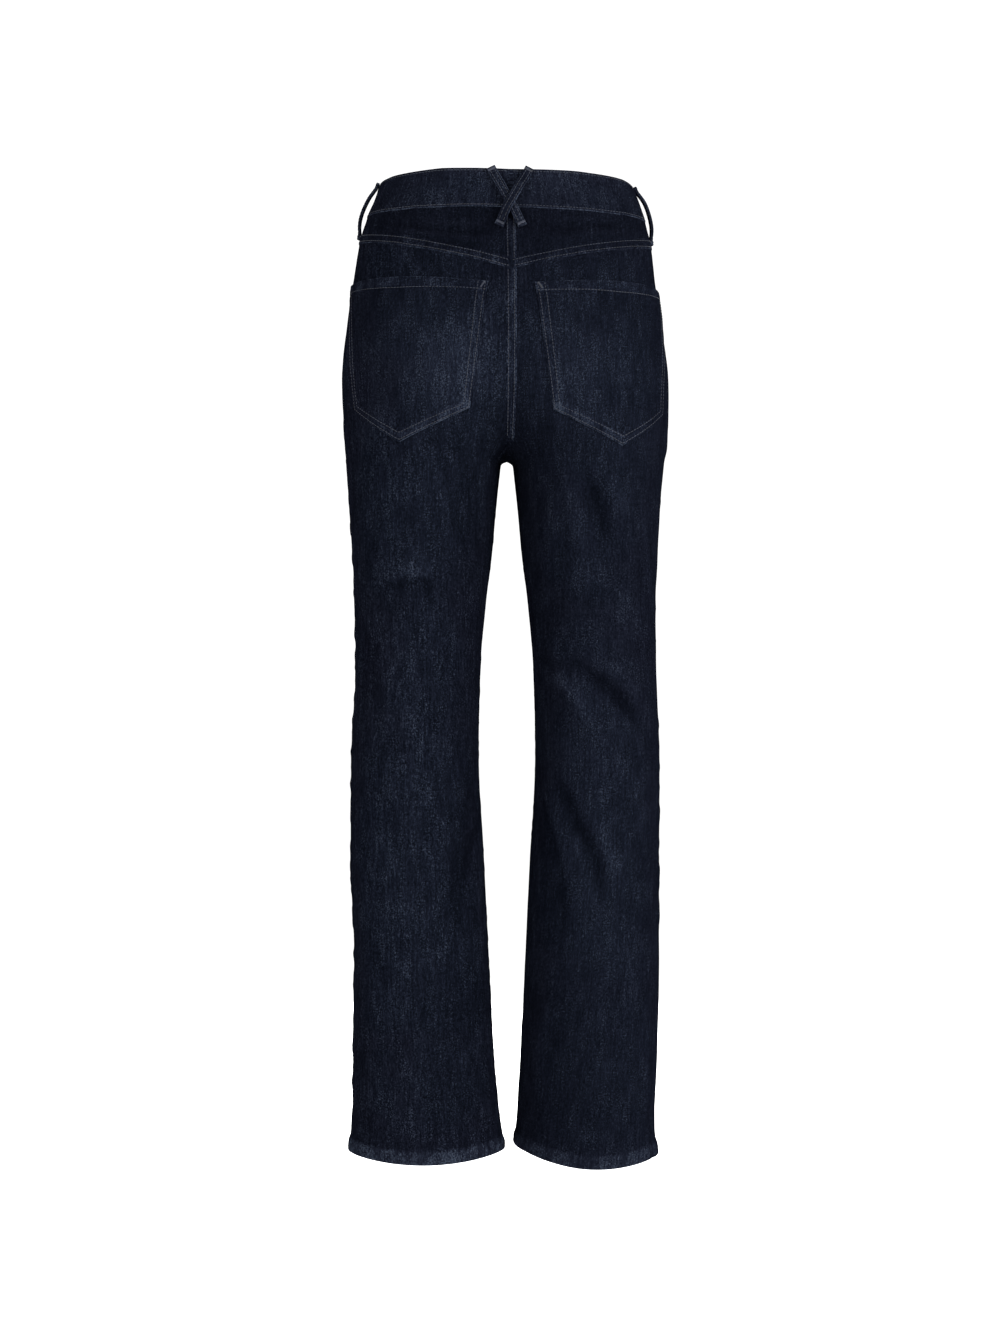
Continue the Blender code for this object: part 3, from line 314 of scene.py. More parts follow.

# Fades, from 0 to 1, which hold painted light and shade besides the denim's own fade. A patch is given by its
# middle and half width as shares of the panel's width, then by its middle height and half height
STRIPE_FADE_AND_LIGHT = 0.32          # down the middle of each leg, partly the denim's own fade and partly painted light
STRIPE_WIDTH = 0.27
STRIPE_PLACE = {"left": (0.42, 0.06), "right": (0.50, 0.24)}      # above the knee, and the shift below it, where the painted light follows the leg's turn
SHIN = (-640.0, -960.0)     # the stripe shifts and dims down the shin,
SHIN_DIM = 0.50
HIP = (-330.0, -150.0)      # dims up to the hip,
HIP_DIM = 0.62
UNDER_SEAT = (-390.0, 90.0)         # and dims in a painted shade under the seat: a band of this height and half height
UNDER_SEAT_SHADE = 0.45
# Paler patches on the seat and the thigh, partly wear and partly painted light
WORN_AND_LIT_FADE = {"left": 0.55, "right": 0.37}
WORN_AND_LIT_PATCH = {"back": (1.0, (0.78, 0.26, -172.0, 62.0)),          # strength and patch on the seat
              "front": (0.6, (0.50, 0.30, -330.0, 120.0))}        # and on the thigh
FORK_SHADE = 0.07
FORK_PATCH = (1.0, 0.10, -262.0, 34.0)
YOKE_SHADE = 0.12           # the yoke is that much darker than the seat
CREASE_SHADING_AND_WEAR = 0.085         # how much paler a crease is for each millimetre that it stands up, and darker where it sinks: painted shade in the troughs, partly wear and partly painted highlight on the ridges
# The large folds get the same painted shade in their troughs, and wear with painted highlight on their ridges
FOLD_SHADING_AND_WEAR = 0.75 * CREASE_SHADING_AND_WEAR
LOOP_FADE = 0.2
HEM_WEAR = {"left": (0.30, 0.36), "right": (0.20, 0.25)}          # rubbed, and faded
FELL_WEAR_AND_HIGHLIGHT = {"left": (0.14, 0.30), "right": (0.28, 0.80)}         # all over, and on the fold, where a highlight is painted too
INSIDE_WEAR = 0.3           # share of the outside's wear

# Wear along an edge, partly a painted highlight on the folded edge: its strength, and the distances where
# there is none of it and all of it
EDGE_WEAR_AND_HIGHLIGHT = {
    "hem": (0.34, 1.6, 0.2),
    "scoop": (0.60, 1.4, 0.3),
    "yoke": (0.38, 1.5, 0.2),
    "pocket": (0.34, 1.2, 0.1),
    "pocket_foot": (0.34, 1.1, 0.1),
    "pocket_top": (0.50, 1.3, 0.1),
    "pocket_rows": (0.06, 9.8, 8.4),
    "band": (0.30, 1.6, 0.2),
    "loop": (0.50, 1.2, 0.1),
}

# Uneven wear of turned layers: its strength, its size across and along, and its seed
SPECKLES = {
    "hem": (0.11, 4.0, 3.2, 17),
    "yoke": (0.16, 5.0, 3.5, 23),
    "pocket": (0.20, 5.0, 3.5, 29),
}
YOKE_WEAR = 0.17            # all over the yoke's turned edge
YOKE_RIDGE = (9.6, 0.9)     # the ridge above it: its distance from the fold and its half width
YOKE_RIDGE_WEAR = 0.12
POCKET_HEM_WEAR = 0.22
POCKET_FOOT_WEAR_AND_HIGHLIGHT = 0.22     # along the foot, towards the centre seam, partly a painted highlight
POCKET_CORNER_WEAR = 0.12   # round the low inner corner
BAND_SEAM_WEAR = 0.42       # where the band's lower edge is rubbed
BAND_FADE = (0.14, 0.26)    # at the side seams, and added towards both centres
LOOP_WEAR = 0.12
LOOP_END_WEAR = 0.4

# Stitches
THREAD_RADIUS = 0.30
STITCH_PITCH = 3.4
STITCH_LENGTH = 2.7
STITCH_NEAR = 2.0           # rows from a folded edge
STITCH_FAR = 8.0
ROW_OUT = WALL / 2 + TURNING - 0.2      # height of a row on a turned edge
HEM_ROW = HEM_DEPTH - 2.0
POCKET_ROWS = (2.2, 8.0)
POCKET_HEM_ROW = 9.2
BAND_ROW = 2.3
LOOP_ROW = 2.3
LOOP_ROW_ENDS = (0.05, 0.95)            # shares of a loop's length
LOOP_TACKS = (0.035, 0.955)
LOOP_TACK_REACH = 3.9       # to each side of the loop's middle line
BAR_LENGTH = 2.4
BAR_PITCH = 0.55
THREAD_SIDES = 5
THREAD_FLATNESS = 0.8
# Rings along a stitch: share of its length, share of its radius, and height in radii
THREAD_RINGS = ((-0.04, 0.5, -0.45), (0.2, 1.0, 0.55), (0.8, 1.0, 0.55), (1.04, 0.5, -0.45))
TOOTH_PITCH = 1.6
TOOTH_SWAY = 0.3
TOOTH_HALF = 1.6
TOOTH_RADIUS = 0.42

# The button's front: radius, and height above its seat
BUTTON_PROFILE = ((6.9, 0.0), (7.9, 0.25), (BUTTON_RADIUS, 0.9), (BUTTON_RADIUS, 1.6), (8.1, 2.2),
                  (7.5, 2.45), (6.9, 2.3), (6.5, 2.0), (6.0, 1.9), (4.9, 2.15), (4.4, 2.5), (3.2, 2.75),
                  (1.6, 2.85), (0.0, 2.88))

# Colours, linear, from the darkest yarn to the palest folds, which are partly rubbed and partly painted
# highlight
INDIGO_SHADES = ((0.0, (0.0009, 0.0011, 0.0020)), (0.30, (0.0019, 0.0023, 0.0042)),
                 (0.52, (0.0033, 0.0040, 0.0071)), (0.72, (0.0063, 0.0078, 0.0129)),
                 (1.0, (0.0176, 0.0221, 0.0322)))
REVERSE_SHADES = ((0.040, 0.050, 0.074), (0.135, 0.155, 0.195))
THREAD = (0.0032, 0.0039, 0.0066)
THREAD_PALER = 3.6          # how much paler the thread is where it is rubbed
BRASS = ((0.16, 0.11, 0.05), (0.42, 0.31, 0.14), 0.42)            # dark, bright, and roughness
ANTIQUE = ((0.06, 0.045, 0.03), (0.28, 0.21, 0.15), 0.40)
FLOOR_WHITE = (0.93, 0.93, 0.93)

# The denim's noises: repeats in a metre across, along and from piece to piece, then detail and roughness
DENIM_NOISES = {
    "slub": ((430.0, 40.0, 40.0), 3.0, 0.6),
    "yarn": ((1000.0, 230.0, 40.0), 2.0, 0.6),
    "grain": ((820.0, 640.0, 40.0), 3.0, 0.8),
    "mottle": ((46.0, 20.0, 40.0), 1.0, 0.5),
    "cluster": ((92.0, 32.0, 70.0), 1.0, 0.5),
}
TWILL_LINES = (900.0, 620.0, 0.0)

# Where on the bolt each piece is cut: the third place in its noises
BOLT_PLACES = {
    "front_panel_left": 1.97, "front_panel_right": 1.7, "back_panel_left": 1.87, "back_panel_right": 1.6,
    "yoke_cloth_left": 2.8, "yoke_cloth_right": 2.3, "pocket_cloth_left": 4.2, "pocket_cloth_right": 3.9,
    "pocket_facing_cloth_left": 5.1, "pocket_facing_cloth_right": 5.1, "zip_tape": 6.2,
    "fly_shield_cloth": 6.2, "waistband_cloth": 7.7, "loop_back_left_cloth": 10.8,
    "loop_back_right_cloth": 10.9, "loop_side_left_cloth": 10.8, "loop_side_right_cloth": 10.9,
    "loop_front_left_cloth": 10.9, "loop_front_right_cloth": 11.0,
}

# Camera and light
CAMERA_PLACE = (0.1050, 2.798, -0.4815)
CAMERA_TURN = 178.0         # degrees round Z, looking level
CAMERA_LENS = 72.67
SOFTBOXES = (("softbox_left", (1.9, 2.7, 0.2), 1.6, 105.0), ("softbox_right", (-2.4, 2.3, 0.2), 1.6, 235.0),
             ("softbox_front", (-0.6, -3.2, 0.2), 2.0, 200.0))
LIGHT_AIM = (0.0, 0.0, -0.45)
FLOOR_HEIGHT = -1.26
FLOOR_REACH = 30.0
WORLD_STRENGTH = 1.12

SIDES = {"left": 1.0, "right": -1.0}
FACES = {"back": 1.0, "front": -1.0}


# ---------------------------------------------------------------- the form, as in the solids

def smooth(share):
    """From 0 to 1, flat at both ends."""
    return share * share * (3.0 - 2.0 * share)


def ease(low, high, value):
    """From 0 at low to 1 at high, flat at both ends; low may be the larger."""
    return smooth(np.clip((value - low) / (high - low), 0.0, 1.0))


def bell(value, middle, width):
    """One at the middle, fading to nothing on both sides."""
    return np.exp(-((value - middle) / width) ** 2)


def nearest(values, target):
    """Which of the values lies nearest."""
    return np.argmin(np.abs(values - target))


def column(name, heights):
    """A column of LEVELS at any height, on a smooth curve that doesn't overshoot its rows."""
    knots = np.array([row[0] for row in reversed(LEVELS)], float)
    values = np.array([row[COLUMNS.index(name)] for row in reversed(LEVELS)], float)
    run = np.diff(knots)
    slope = np.diff(values) / run
    tangent = np.zeros(len(knots))
    same_way = slope[:-1] * slope[1:] > 0
    before, after = slope[:-1][same_way], slope[1:][same_way]
    tangent[1:-1][same_way] = 2 * before * after / (before + after)
    tangent[0], tangent[-1] = slope[0], slope[-1]
    heights = np.clip(heights, knots[0], knots[-1])
    index = np.clip(np.searchsorted(knots, heights, side="right") - 1, 0, len(run) - 1)
    share = (heights - knots[index]) / run[index]
    square, cube = share ** 2, share ** 3
    return ((2 * cube - 3 * square + 1) * values[index]
            + (cube - 2 * square + share) * run[index] * tangent[index]
            + (3 * square - 2 * cube) * values[index + 1]
            + (cube - square) * run[index] * tangent[index + 1])


def half_sizes(side, heights):
    """Centre of a leg's sections, both their half widths, their widest place and both their half depths."""
    centre = column("centre", heights)
    outer = np.hypot(column("outer_" + side, heights), SADDLE) - centre
    inner = centre - column("inner", heights)
    wide_y = column("wide_y", heights)
    return centre, outer, inner, wide_y, wide_y - column("front", heights), column("back", heights) - wide_y


def section(side, face, heights):
    """Points along a panel at each height, from the side seam inwards, and the way travelled to each."""
    centre, outer, inner, wide_y, front, back = (v[:, None] for v in half_sizes(side, heights))
    end_share = np.clip((centre - SADDLE) / inner, 0.0, 1.0)
    end = FACES[face] * (math.pi - np.arccos(end_share ** (POWER / 2)))
    seam = SIDE_SEAM_Y - wide_y
    start = np.sign(seam) * np.arcsin((np.abs(seam) / np.where(seam > 0, back, front)) ** (POWER / 2))
    angle = start + (end - start) * np.linspace(0.0, 1.0, SAMPLES)[None, :]
    along, over = np.cos(angle), np.sin(angle)
    spread = centre + np.where(along >= 0, outer, inner) * np.sign(along) * np.abs(along) ** (2 / POWER)
    x = np.sqrt(np.maximum(spread ** 2 - SADDLE ** 2, 0.0))
    y = wide_y + np.where(over > 0, back, front) * np.sign(over) * np.abs(over) ** (2 / POWER)
    steps = np.hypot(np.diff(x, axis=1), np.diff(y, axis=1))
    so_far = np.concatenate([np.zeros((len(x), 1)), np.cumsum(steps, axis=1)], axis=1)
    return x, y, so_far


WIDTH_HEIGHTS = np.arange(LEVELS[-1][0] - 2.0, LEVELS[0][0] + 2.0, WIDTH_STEP)
WIDTHS = {(side, face): section(side, face, WIDTH_HEIGHTS)[2][:, -1] for side in SIDES for face in FACES}


def grain_line(side, face):
    """How far across the upright plane through the leg lies, at each listed height."""
    xs, _, so_far = section(side, face, WIDTH_HEIGHTS)
    return np.array([np.interp(-GRAIN_PLACE, -x, length) for x, length in zip(xs, so_far)])


GRAIN_LINES = {(side, face): grain_line(side, face) for side in SIDES for face in FACES}


def full_width(side, face, heights):
    """A panel's width along its section."""
    return np.interp(heights, WIDTH_HEIGHTS, WIDTHS[side, face])


def from_grain(side, face, across, heights):
    """Distance from the upright yarn through the middle of the leg."""
    return across - np.interp(heights, WIDTH_HEIGHTS, GRAIN_LINES[side, face])


def fullness(side, x, y, heights):
    """How far out places lie, with 1 on the section, and how fast that grows along X and Y."""
    centre, outer, inner, wide_y, front, back = half_sizes(side, heights)
    spread = np.hypot(x, SADDLE)
    reach = np.where(spread >= centre, outer, inner)
    depth = np.where(y > wide_y, back, front)
    along = (spread - centre) / reach
    over = (y - wide_y) / depth
    value = np.abs(along) ** POWER + np.abs(over) ** POWER
    slope_x = POWER * np.abs(along) ** (POWER - 1) * np.sign(along) / reach * x / spread
    slope_y = POWER * np.abs(over) ** (POWER - 1) * np.sign(over) / depth
    return value, slope_x, slope_y


def place(side, face, across, heights):
    """Points of the pattern on the sections, and the way out of the cloth at each."""
    bases, normals = [], []
    for first in range(0, len(across), CHUNK):
        some, levels = across[first:first + CHUNK], heights[first:first + CHUNK]
        xs, ys, so_far = section(side, face, levels)
        rows = np.arange(len(some))
        index = np.clip((so_far < some[:, None]).sum(axis=1) - 1, 0, SAMPLES - 2)
        start, step = so_far[rows, index], so_far[rows, index + 1] - so_far[rows, index]
        share = np.clip((some - start) / np.maximum(step, TINY), 0.0, 1.0)
        x = xs[rows, index] * (1 - share) + xs[rows, index + 1] * share
        y = ys[rows, index] * (1 - share) + ys[rows, index + 1] * share
        slope_x, slope_y = fullness(side, x, y, levels)[1:]
        slope_z = (fullness(side, x, y, levels + 1)[0] - fullness(side, x, y, levels - 1)[0]) / 2
        normal = np.stack([slope_x, slope_y, slope_z], axis=1)
        normals.append(normal / np.linalg.norm(normal, axis=1)[:, None])
        bases.append(np.stack([x, y, levels], axis=1))
    return np.concatenate(bases), np.concatenate(normals)


def hang(side, points, heights):
    """Turn the right leg as it hangs, and put points on their own side of the body, which leans a little."""
    if side == "right":
        angle = -np.radians(column("turn", heights))
        centre = column("centre", heights)
        x, y = points[:, 0] - centre, points[:, 1]
        points[:, 0] = centre + x * np.cos(angle) - y * np.sin(angle)
        points[:, 1] = x * np.sin(angle) + y * np.cos(angle)
    points[:, 0] *= SIDES[side]
    points[:, 2] += LEAN * points[:, 0]
    return points


def lift(side, placed, heights, out):
    """Placed points moved out, and hung on their own side of the body."""
    base, normal = placed
    points = base + normal * np.broadcast_to(out, len(base))[:, None]
    points[:, 0] = np.maximum(points[:, 0], 0.0)
    return hang(side, points, heights)


# ---------------------------------------------------------------- lines on the pattern

def pairs(across, heights):
    """Pattern points, each as (across, height)."""
    return np.stack([across, heights], axis=-1)


def top_shift(side, face, share):
    """How far the band's top edge lies above or below a band of even height."""
    rows = [row for row in TOP_SHIFTS if row[0] == face]
    return np.interp(share, [row[1] for row in rows], [row[2 if side == "left" else 3] for row in rows])


def waist_shift(face, share):
    """The waist rises to the centre back and dips to the centre front."""
    full = BACK_RISE if face == "back" else -FRONT_DIP
    return full * (1 - np.cos(np.pi * np.asarray(share, float))) / 2


def band_height(side, face, share, up):
    """Height of a place on the waistband, by its distance above the waist seam."""
    return WAIST_SEAM + up * (1 + top_shift(side, face, share) / BAND_TALL) + waist_shift(face, share)


def yoke_height(share):
    """The yoke seam, from the side down to the centre back."""
    return YOKE_SIDE + (YOKE_CENTRE - YOKE_SIDE) * np.clip(share, 0, 1) ** YOKE_SWEEP


def hem_height(side, face, share):
    """The hem, which rises over the foot and drops behind the heel."""
    level = HEM - HEM_OUTER_DROP * np.cos(np.pi * share)
    if face == "front":
        return level + HEM_FRONT_RISE * np.sin(np.pi * share) ** 2
    return level - HEM_BACK_DROP * np.sin(np.pi * share) ** 2 - HEM_TILT[side] * np.sin(2 * np.pi * share)


def line_between(start, end, step=4.0):
    """Evenly spaced points from a start to an end."""
    count = max(1, round(math.dist(start, end) / step))
    return np.array(start) + (np.array(end) - np.array(start)) * np.linspace(0, 1, count + 1)[:, None]


def travelled(line):
    """How far along a polyline each of its points lies."""
    return np.concatenate([[0.0], np.cumsum(np.linalg.norm(np.diff(line, axis=0), axis=1))])


def distance_to_line(across, heights, line):
    """Distance from pattern points to a polyline, and how far along it the nearest place is."""
    points = pairs(across, heights)
    closest, along = np.full(len(points), np.inf), np.zeros(len(points))
    so_far = 0.0
    for start, end in zip(line, line[1:]):
        run = end - start
        length = np.linalg.norm(run)
        share = np.clip(((points - start) @ run) / max(length ** 2, TINY), 0, 1)
        distance = np.linalg.norm(points - start - share[:, None] * run, axis=1)
        closer = distance < closest
        closest = np.where(closer, distance, closest)
        along = np.where(closer, so_far + share * length, along)
        so_far += length
    return closest, along


def scoop_curve(side, extra=0.0, count=40):
    """The front pocket's opening, from the waist seam round to the side seam."""
    width = SCOOP_WIDTH * full_width(side, "front", WAIST_SEAM) + extra
    depth = SCOOP_DEPTH + extra
    turn = np.linspace(0.0, 1.0, count) * math.pi / 2
    across = width * np.cos(turn) ** SCOOP_ROUND_ACROSS
    drop = depth * np.sin(turn) ** SCOOP_ROUND_DOWN
    shares = across / full_width(side, "front", WAIST_SEAM - drop)
    heights = WAIST_SEAM + waist_shift("front", shares) * (1 - drop / depth) - drop
    heights[-1] = WAIST_SEAM - depth
    across[-1] = 0.0
    return pairs(across, heights)


def fly_curve(from_centre, length):
    """A line of the fly on the left front, a distance from the centre seam and rounded at its foot."""
    turn = np.linspace(0.0, 1.0, 9) * math.pi / 2
    bottom = FLY_TOP - length
    down = np.linspace(FLY_TOP - 1.0, bottom + from_centre, 24)
    heights = np.concatenate([down[:-1], bottom + from_centre * (1 - np.sin(turn))])
    inward = np.concatenate([np.full(len(down) - 1, from_centre), from_centre * np.cos(turn)])
    return pairs(full_width("left", "front", heights) - inward, heights)


def pocket_corners(side):
    """The back pocket's five corners, as distances from the upright yarn and heights."""
    corners = np.array((POCKET_TOP_OUTER, POCKET_TOP_INNER, POCKET_LOW_INNER, POCKET_POINT, POCKET_LOW_OUTER))
    heights = corners[:, 1]
    across = full_width(side, "back", heights) - corners[:, 0]
    return pairs(from_grain(side, "back", across, heights), heights)


def to_pattern(side, yarn, heights):
    """Pattern points of places given by their distance from the upright yarn."""
    return pairs(yarn + np.interp(heights, WIDTH_HEIGHTS, GRAIN_LINES[side, "back"]), heights)


def pocket_outline(side, inset):
    """The back pocket's outline, moved in by a distance."""
    corners = list(pocket_corners(side))
    moved = []
    for number, corner in enumerate(corners):
        before = corner - corners[number - 1]
        after = corners[(number + 1) % len(corners)] - corner
        before, after = before / np.linalg.norm(before), after / np.linalg.norm(after)
        inward = np.array([before[1], -before[0]]) + np.array([after[1], -after[0]])
        moved.append(corner + inward * inset / (1 + before @ after))
    line = np.vstack([line_between(a, b)[:-1] for a, b in zip(moved, moved[1:] + moved[:1])] + [moved[:1]])
    return to_pattern(side, line[:, 0], line[:, 1])


# ---------------------------------------------------------------- relief

def uneven_noise(values, seed):
    """Smooth noise along a line, one lattice point for each whole number."""
    count = 4096
    table = np.random.default_rng(seed).uniform(-1, 1, count)
    whole = np.floor(values).astype(int)
    share = smooth(values - whole)
    return table[whole % count] * (1 - share) + table[(whole + 1) % count] * share


def uneven_patches(across, heights, size_across, size_along, seed):
    """Smooth noise over the pattern."""
    table = np.random.default_rng(seed).uniform(-1, 1, (128, 512))
    u, v = across / size_across + 7.3, -heights / size_along + 9.1
    i, j = np.floor(u).astype(int), np.floor(v).astype(int)
    s, t = smooth(u - i), smooth(v - j)
    i, j = i % (table.shape[0] - 1), j % (table.shape[1] - 1)
    return ((table[i, j] * (1 - s) + table[i + 1, j] * s) * (1 - t)
            + (table[i, j + 1] * (1 - s) + table[i + 1, j + 1] * s) * t)


def rows_of(table, columns, side, face):
    """A table's rows for one panel, each as a dictionary."""
    return [dict(zip(columns, values)) for values in table[side, face]]


def fold_rise(side, face, across, heights):
    """The large folds, the same as the solids have."""
    rise = np.zeros(len(across))
    for row in rows_of(FOLDS, FOLD_COLUMNS, side, face):
        middle = row["across"] * full_width(side, face, row["height"])
        tilt = math.radians(row["tilt"])
        right, up = across - middle, heights - row["height"]
        along = right * math.sin(tilt) + up * math.cos(tilt)
        aside = right * math.cos(tilt) - up * math.sin(tilt)
        rise += row["rise"] * bell(along, 0, row["length"]) * bell(aside, 0, row["width"])
    return rise


def crease_rise(side, face, across, heights):
    """Soft troughs and ridges with raised shoulders, each fading out at its ends."""
    rise = np.zeros(len(across))
    for row in rows_of(CREASES, CREASE_COLUMNS, side, face):
        ends = np.array((row["height0"], row["height1"]), float)
        start, end = pairs(full_width(side, face, ends) * (row["share0"], row["share1"]), ends)
        length = np.linalg.norm(end - start)
        forward = (end - start) / length
        right, up = across - start[0], heights - start[1]
        share = (right * forward[0] + up * forward[1]) / length
        inside = np.clip(share, 0, 1)
        aside = up * forward[0] - right * forward[1] + row["bow"] * np.sin(np.pi * inside)
        fade = ease(-0.12, 0.3, share) * ease(1.12, 0.7, share)
        wide = row["width"] * (0.75 + 0.5 * inside)
        shoulder = bell(np.abs(aside), 2.1 * wide, 1.2 * wide)
        rise += row["rise"] * fade * (bell(aside, 0, wide) - CREASE_SHOULDER * shoulder)
    return rise


def pucker(distance, along, seed, reach=PUCKER_REACH, pitch=PUCKER_PITCH, rise=PUCKER_RISE):
    """Small uneven dents along a stitched seam."""
    return rise * bell(distance, 0, reach) * uneven_noise(along / pitch, seed)


def hem_roping(across, above_hem, number):
    """The hem's slanting ridges, uneven in their places and their strength."""
    wander = 2.2 * uneven_noise(across / 17, 50 + number)
    ridges = np.sin(2 * np.pi * (across + 0.8 * above_hem) / ROPING_PITCH + wander)
    strength = 0.65 + 0.35 * uneven_noise(across / 23, 60 + number)
    return ROPING_RISE * ridges * strength * ease(0, 3, above_hem) * ease(HEM_DEPTH, 9, above_hem)


def relief(side, face, across, heights):
    """All that lifts the cloth at a place, for every piece that lies there."""
    width = full_width(side, face, heights)
    share = np.clip(across / width, 0, 1)
    number = (1 if side == "left" else 2) + (4 if face == "back" else 0)    # tells the panels' noise apart
    inland = ease(0, FLAT_EDGE, across) * ease(0, FLAT_EDGE, width - across)
    rise = fold_rise(side, face, across, heights) + crease_rise(side, face, across, heights) * inland
    for order, (size_across, size_along, height) in enumerate(UNEVEN):
        patches = uneven_patches(across, heights, size_across, size_along, 100 * number + order)
        rise += height * patches * inland
    side_seed = 11 if side == "left" else 12
    rise += pucker(across, heights, side_seed) + pucker(across, heights, side_seed + 4, *SIDE_PUCKER)
    rise += pucker(width - across, heights, side_seed + 10) * ease(CROTCH, CROTCH - 20, heights)
    rise += pucker(heights - WAIST_SEAM - waist_shift(face, share), across, number + 30) * inland
    rise += hem_roping(across, heights - hem_height(side, face, share), number) * inland
    if face == "back":
        rise += pucker(heights - yoke_height(share), across, number + 40)
        near = (heights < POCKET_TOP_OUTER[1] + POCKET_REACH) & (heights > POCKET_POINT[1] - POCKET_REACH)
        if near.any():
            line = pocket_outline(side, (STITCH_NEAR + STITCH_FAR) / 2)
            distance, along = distance_to_line(across[near], heights[near], line)
            rise[near] += POCKET_PUCKER * pucker(distance, along, number + 70)
    return rise


def fell_rise(from_centre):
    """The felled centre seam's half of its raised strip."""
    inside = FELL_HALF - from_centre
    return TURNING * ease(-0.3, 0.7, inside) - DENT_DEPTH * bell(inside, STITCH_NEAR, DENT_WIDTH)


def fell_wear_and_highlight(side, from_centre):
    """The strip is rubbed, most of all on its folded edge at the right, which also carries a painted
    highlight.
    """
    strip, fold = FELL_WEAR_AND_HIGHLIGHT[side]
    on_strip = ease(-0.3, 0.7, FELL_HALF - from_centre)
    return strip * on_strip + (fold - strip) * bell(from_centre, FELL_HALF - 0.5, 0.8)


def edge_wear_and_highlight(edge, distance):
    """How rubbed an edge is, with a painted highlight on it too, by the distance from it."""
    strength, none, full = EDGE_WEAR_AND_HIGHLIGHT[edge]
    return strength * ease(none, full, distance)


def speckle(layer, across, heights):
    """Uneven wear of a turned layer."""
    strength, *patches = SPECKLES[layer]
    return strength * uneven_patches(across, heights, *patches)


def turned_edge(distance, width=10.0):
    """What a folded and stitched edge adds to a wall, by the distance from its fold."""
    band = ease(width + 0.6, width - 1.2, distance)
    rows = bell(distance, STITCH_NEAR, DENT_WIDTH) + bell(distance, STITCH_FAR, DENT_WIDTH)
    return TURNING * band - DENT_DEPTH * rows * band - 0.55 * ease(1.0, -0.1, distance)


# ---------------------------------------------------------------- meshes

def add_object(name, mesh, finish, sharp=48.0):
    """A finished object from a mesh, smooth but for edges that are sharper than an angle."""
    mesh.validate()
    mesh.shade_smooth()
    mesh.set_sharp_from_angle(angle=math.radians(sharp))
    mesh.materials.append(finish)
    made = bpy.data.objects.new(name, mesh)
    bpy.context.collection.objects.link(made)
    return made


def shell(name, layers, quads, yarn, heights, wear, fade, finish, reverse=1.0):
    """Close two layers of points that share their quads into one wall, with what the material reads."""
    outer, inner = layers
    count = len(outer)
    corners = outer[quads]
    facing = np.cross(corners[:, 2] - corners[:, 0], corners[:, 3] - corners[:, 1])
    if (facing * (outer - inner)[quads].mean(axis=1)).sum() < 0:
        quads = quads[:, ::-1]
    edges = np.concatenate([quads[:, (k, (k + 1) % 4)] for k in range(4)]).astype(np.int64)
    rim = edges[~np.isin(edges @ (count, 1), edges @ (1, count))]
    walls = np.stack([rim[:, 1], rim[:, 0], rim[:, 0] + count, rim[:, 1] + count], axis=1)
    used, numbers = np.unique(np.concatenate([quads, quads[:, ::-1] + count, walls]), return_inverse=True)
    mesh = bpy.data.meshes.new(name)
    points = np.concatenate([outer, inner])[used] * METRE
    mesh.from_pydata(points.tolist(), [], numbers.reshape(-1, 4).tolist())
    behind = np.full(count, reverse)
    behind[np.unique(rim)] = 0.0
    wear = np.clip(wear, 0, 1)
    pattern = np.stack([yarn * METRE, heights * METRE, np.full(count, BOLT_PLACES[name])], axis=1)
    # The tone carries wear with painted highlights on edges, and fade with painted light and shade
    tones = [np.stack([wear, fade, np.zeros(count)], axis=1),
             np.stack([wear * INSIDE_WEAR, fade, behind], axis=1)]
    for label, values in (("pattern", [pattern, pattern]), ("tone", tones)):
        layer = mesh.attributes.new(label, "FLOAT_VECTOR", "POINT")
        layer.data.foreach_set("vector", np.concatenate(values)[used].ravel().astype(np.float32))
    return add_object(name, mesh, finish)


def reach_over(points, rows, columns):
    """A grid of points with its rim moved out along the cloth, past the seams."""
    grid = points.reshape(rows, columns, 3).copy()
    for lines in (grid, grid.swapaxes(0, 1)):
        for edge, beside in ((lines[0], lines[1]), (lines[-1], lines[-2])):
            away = edge - beside
            edge += SEAM_OVERLAP * away / np.maximum(np.linalg.norm(away, axis=1), SEAM_OVERLAP)[:, None]
    return grid.reshape(-1, 3)


def grid_quads(rows, columns):
    """The quads of a grid whose points are listed row by row."""
    corner = (np.arange(rows - 1)[:, None] * columns + np.arange(columns - 1)[None, :]).ravel()
    return np.stack([corner, corner + 1, corner + columns + 1, corner + columns], axis=1)


def flat_area(across, heights, quads):
    """Area of the pattern in square metres, with its width and length in metres."""
    corners = pairs(across, heights)[quads]
    (a, b), (c, d) = (corners[:, 2:] - corners[:, :2]).T       # a cell's two diagonals
    cells = 0.5 * np.abs(a * d - b * c)
    return cells.sum() * METRE ** 2, (np.ptp(corners[..., 0]) * METRE, np.ptp(corners[..., 1]) * METRE)


def stand_for(piece, node):
    """A piece takes a node's place."""
    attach(piece, "root")
    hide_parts(node)
    return piece


SHEETS = []


def add_cloth(name, node, side, face, grid, outs, wear, fade, finish, yarn=None, cut=None, seamed=False):
    """A wall over a grid of pattern points, between two heights above the middle of the cloth below it.

    It takes a node's place. The yarn's places and the cut's widths are told apart from the grid's where they
    aren't the same, and a seamed piece reaches past its seams.
    """
    shape = grid[0].shape
    across, heights = (values.ravel() for values in grid)
    placed = place(side, face, across, heights)
    rise = relief(side, face, across, heights)
    layers = [lift(side, placed, heights, rise + out) for out in outs]
    if seamed:
        layers = [reach_over(layer, *shape) for layer in layers]
    quads = grid_quads(*shape)
    yarn = from_grain(side, face, across, heights) if yarn is None else yarn
    piece = stand_for(shell(name, layers, quads, yarn, heights, wear, fade, finish), node)
    SHEETS.append((piece, flat_area(across if cut is None else cut, heights, quads)))
    return piece


# ---------------------------------------------------------------- stitches

THREADS = {}


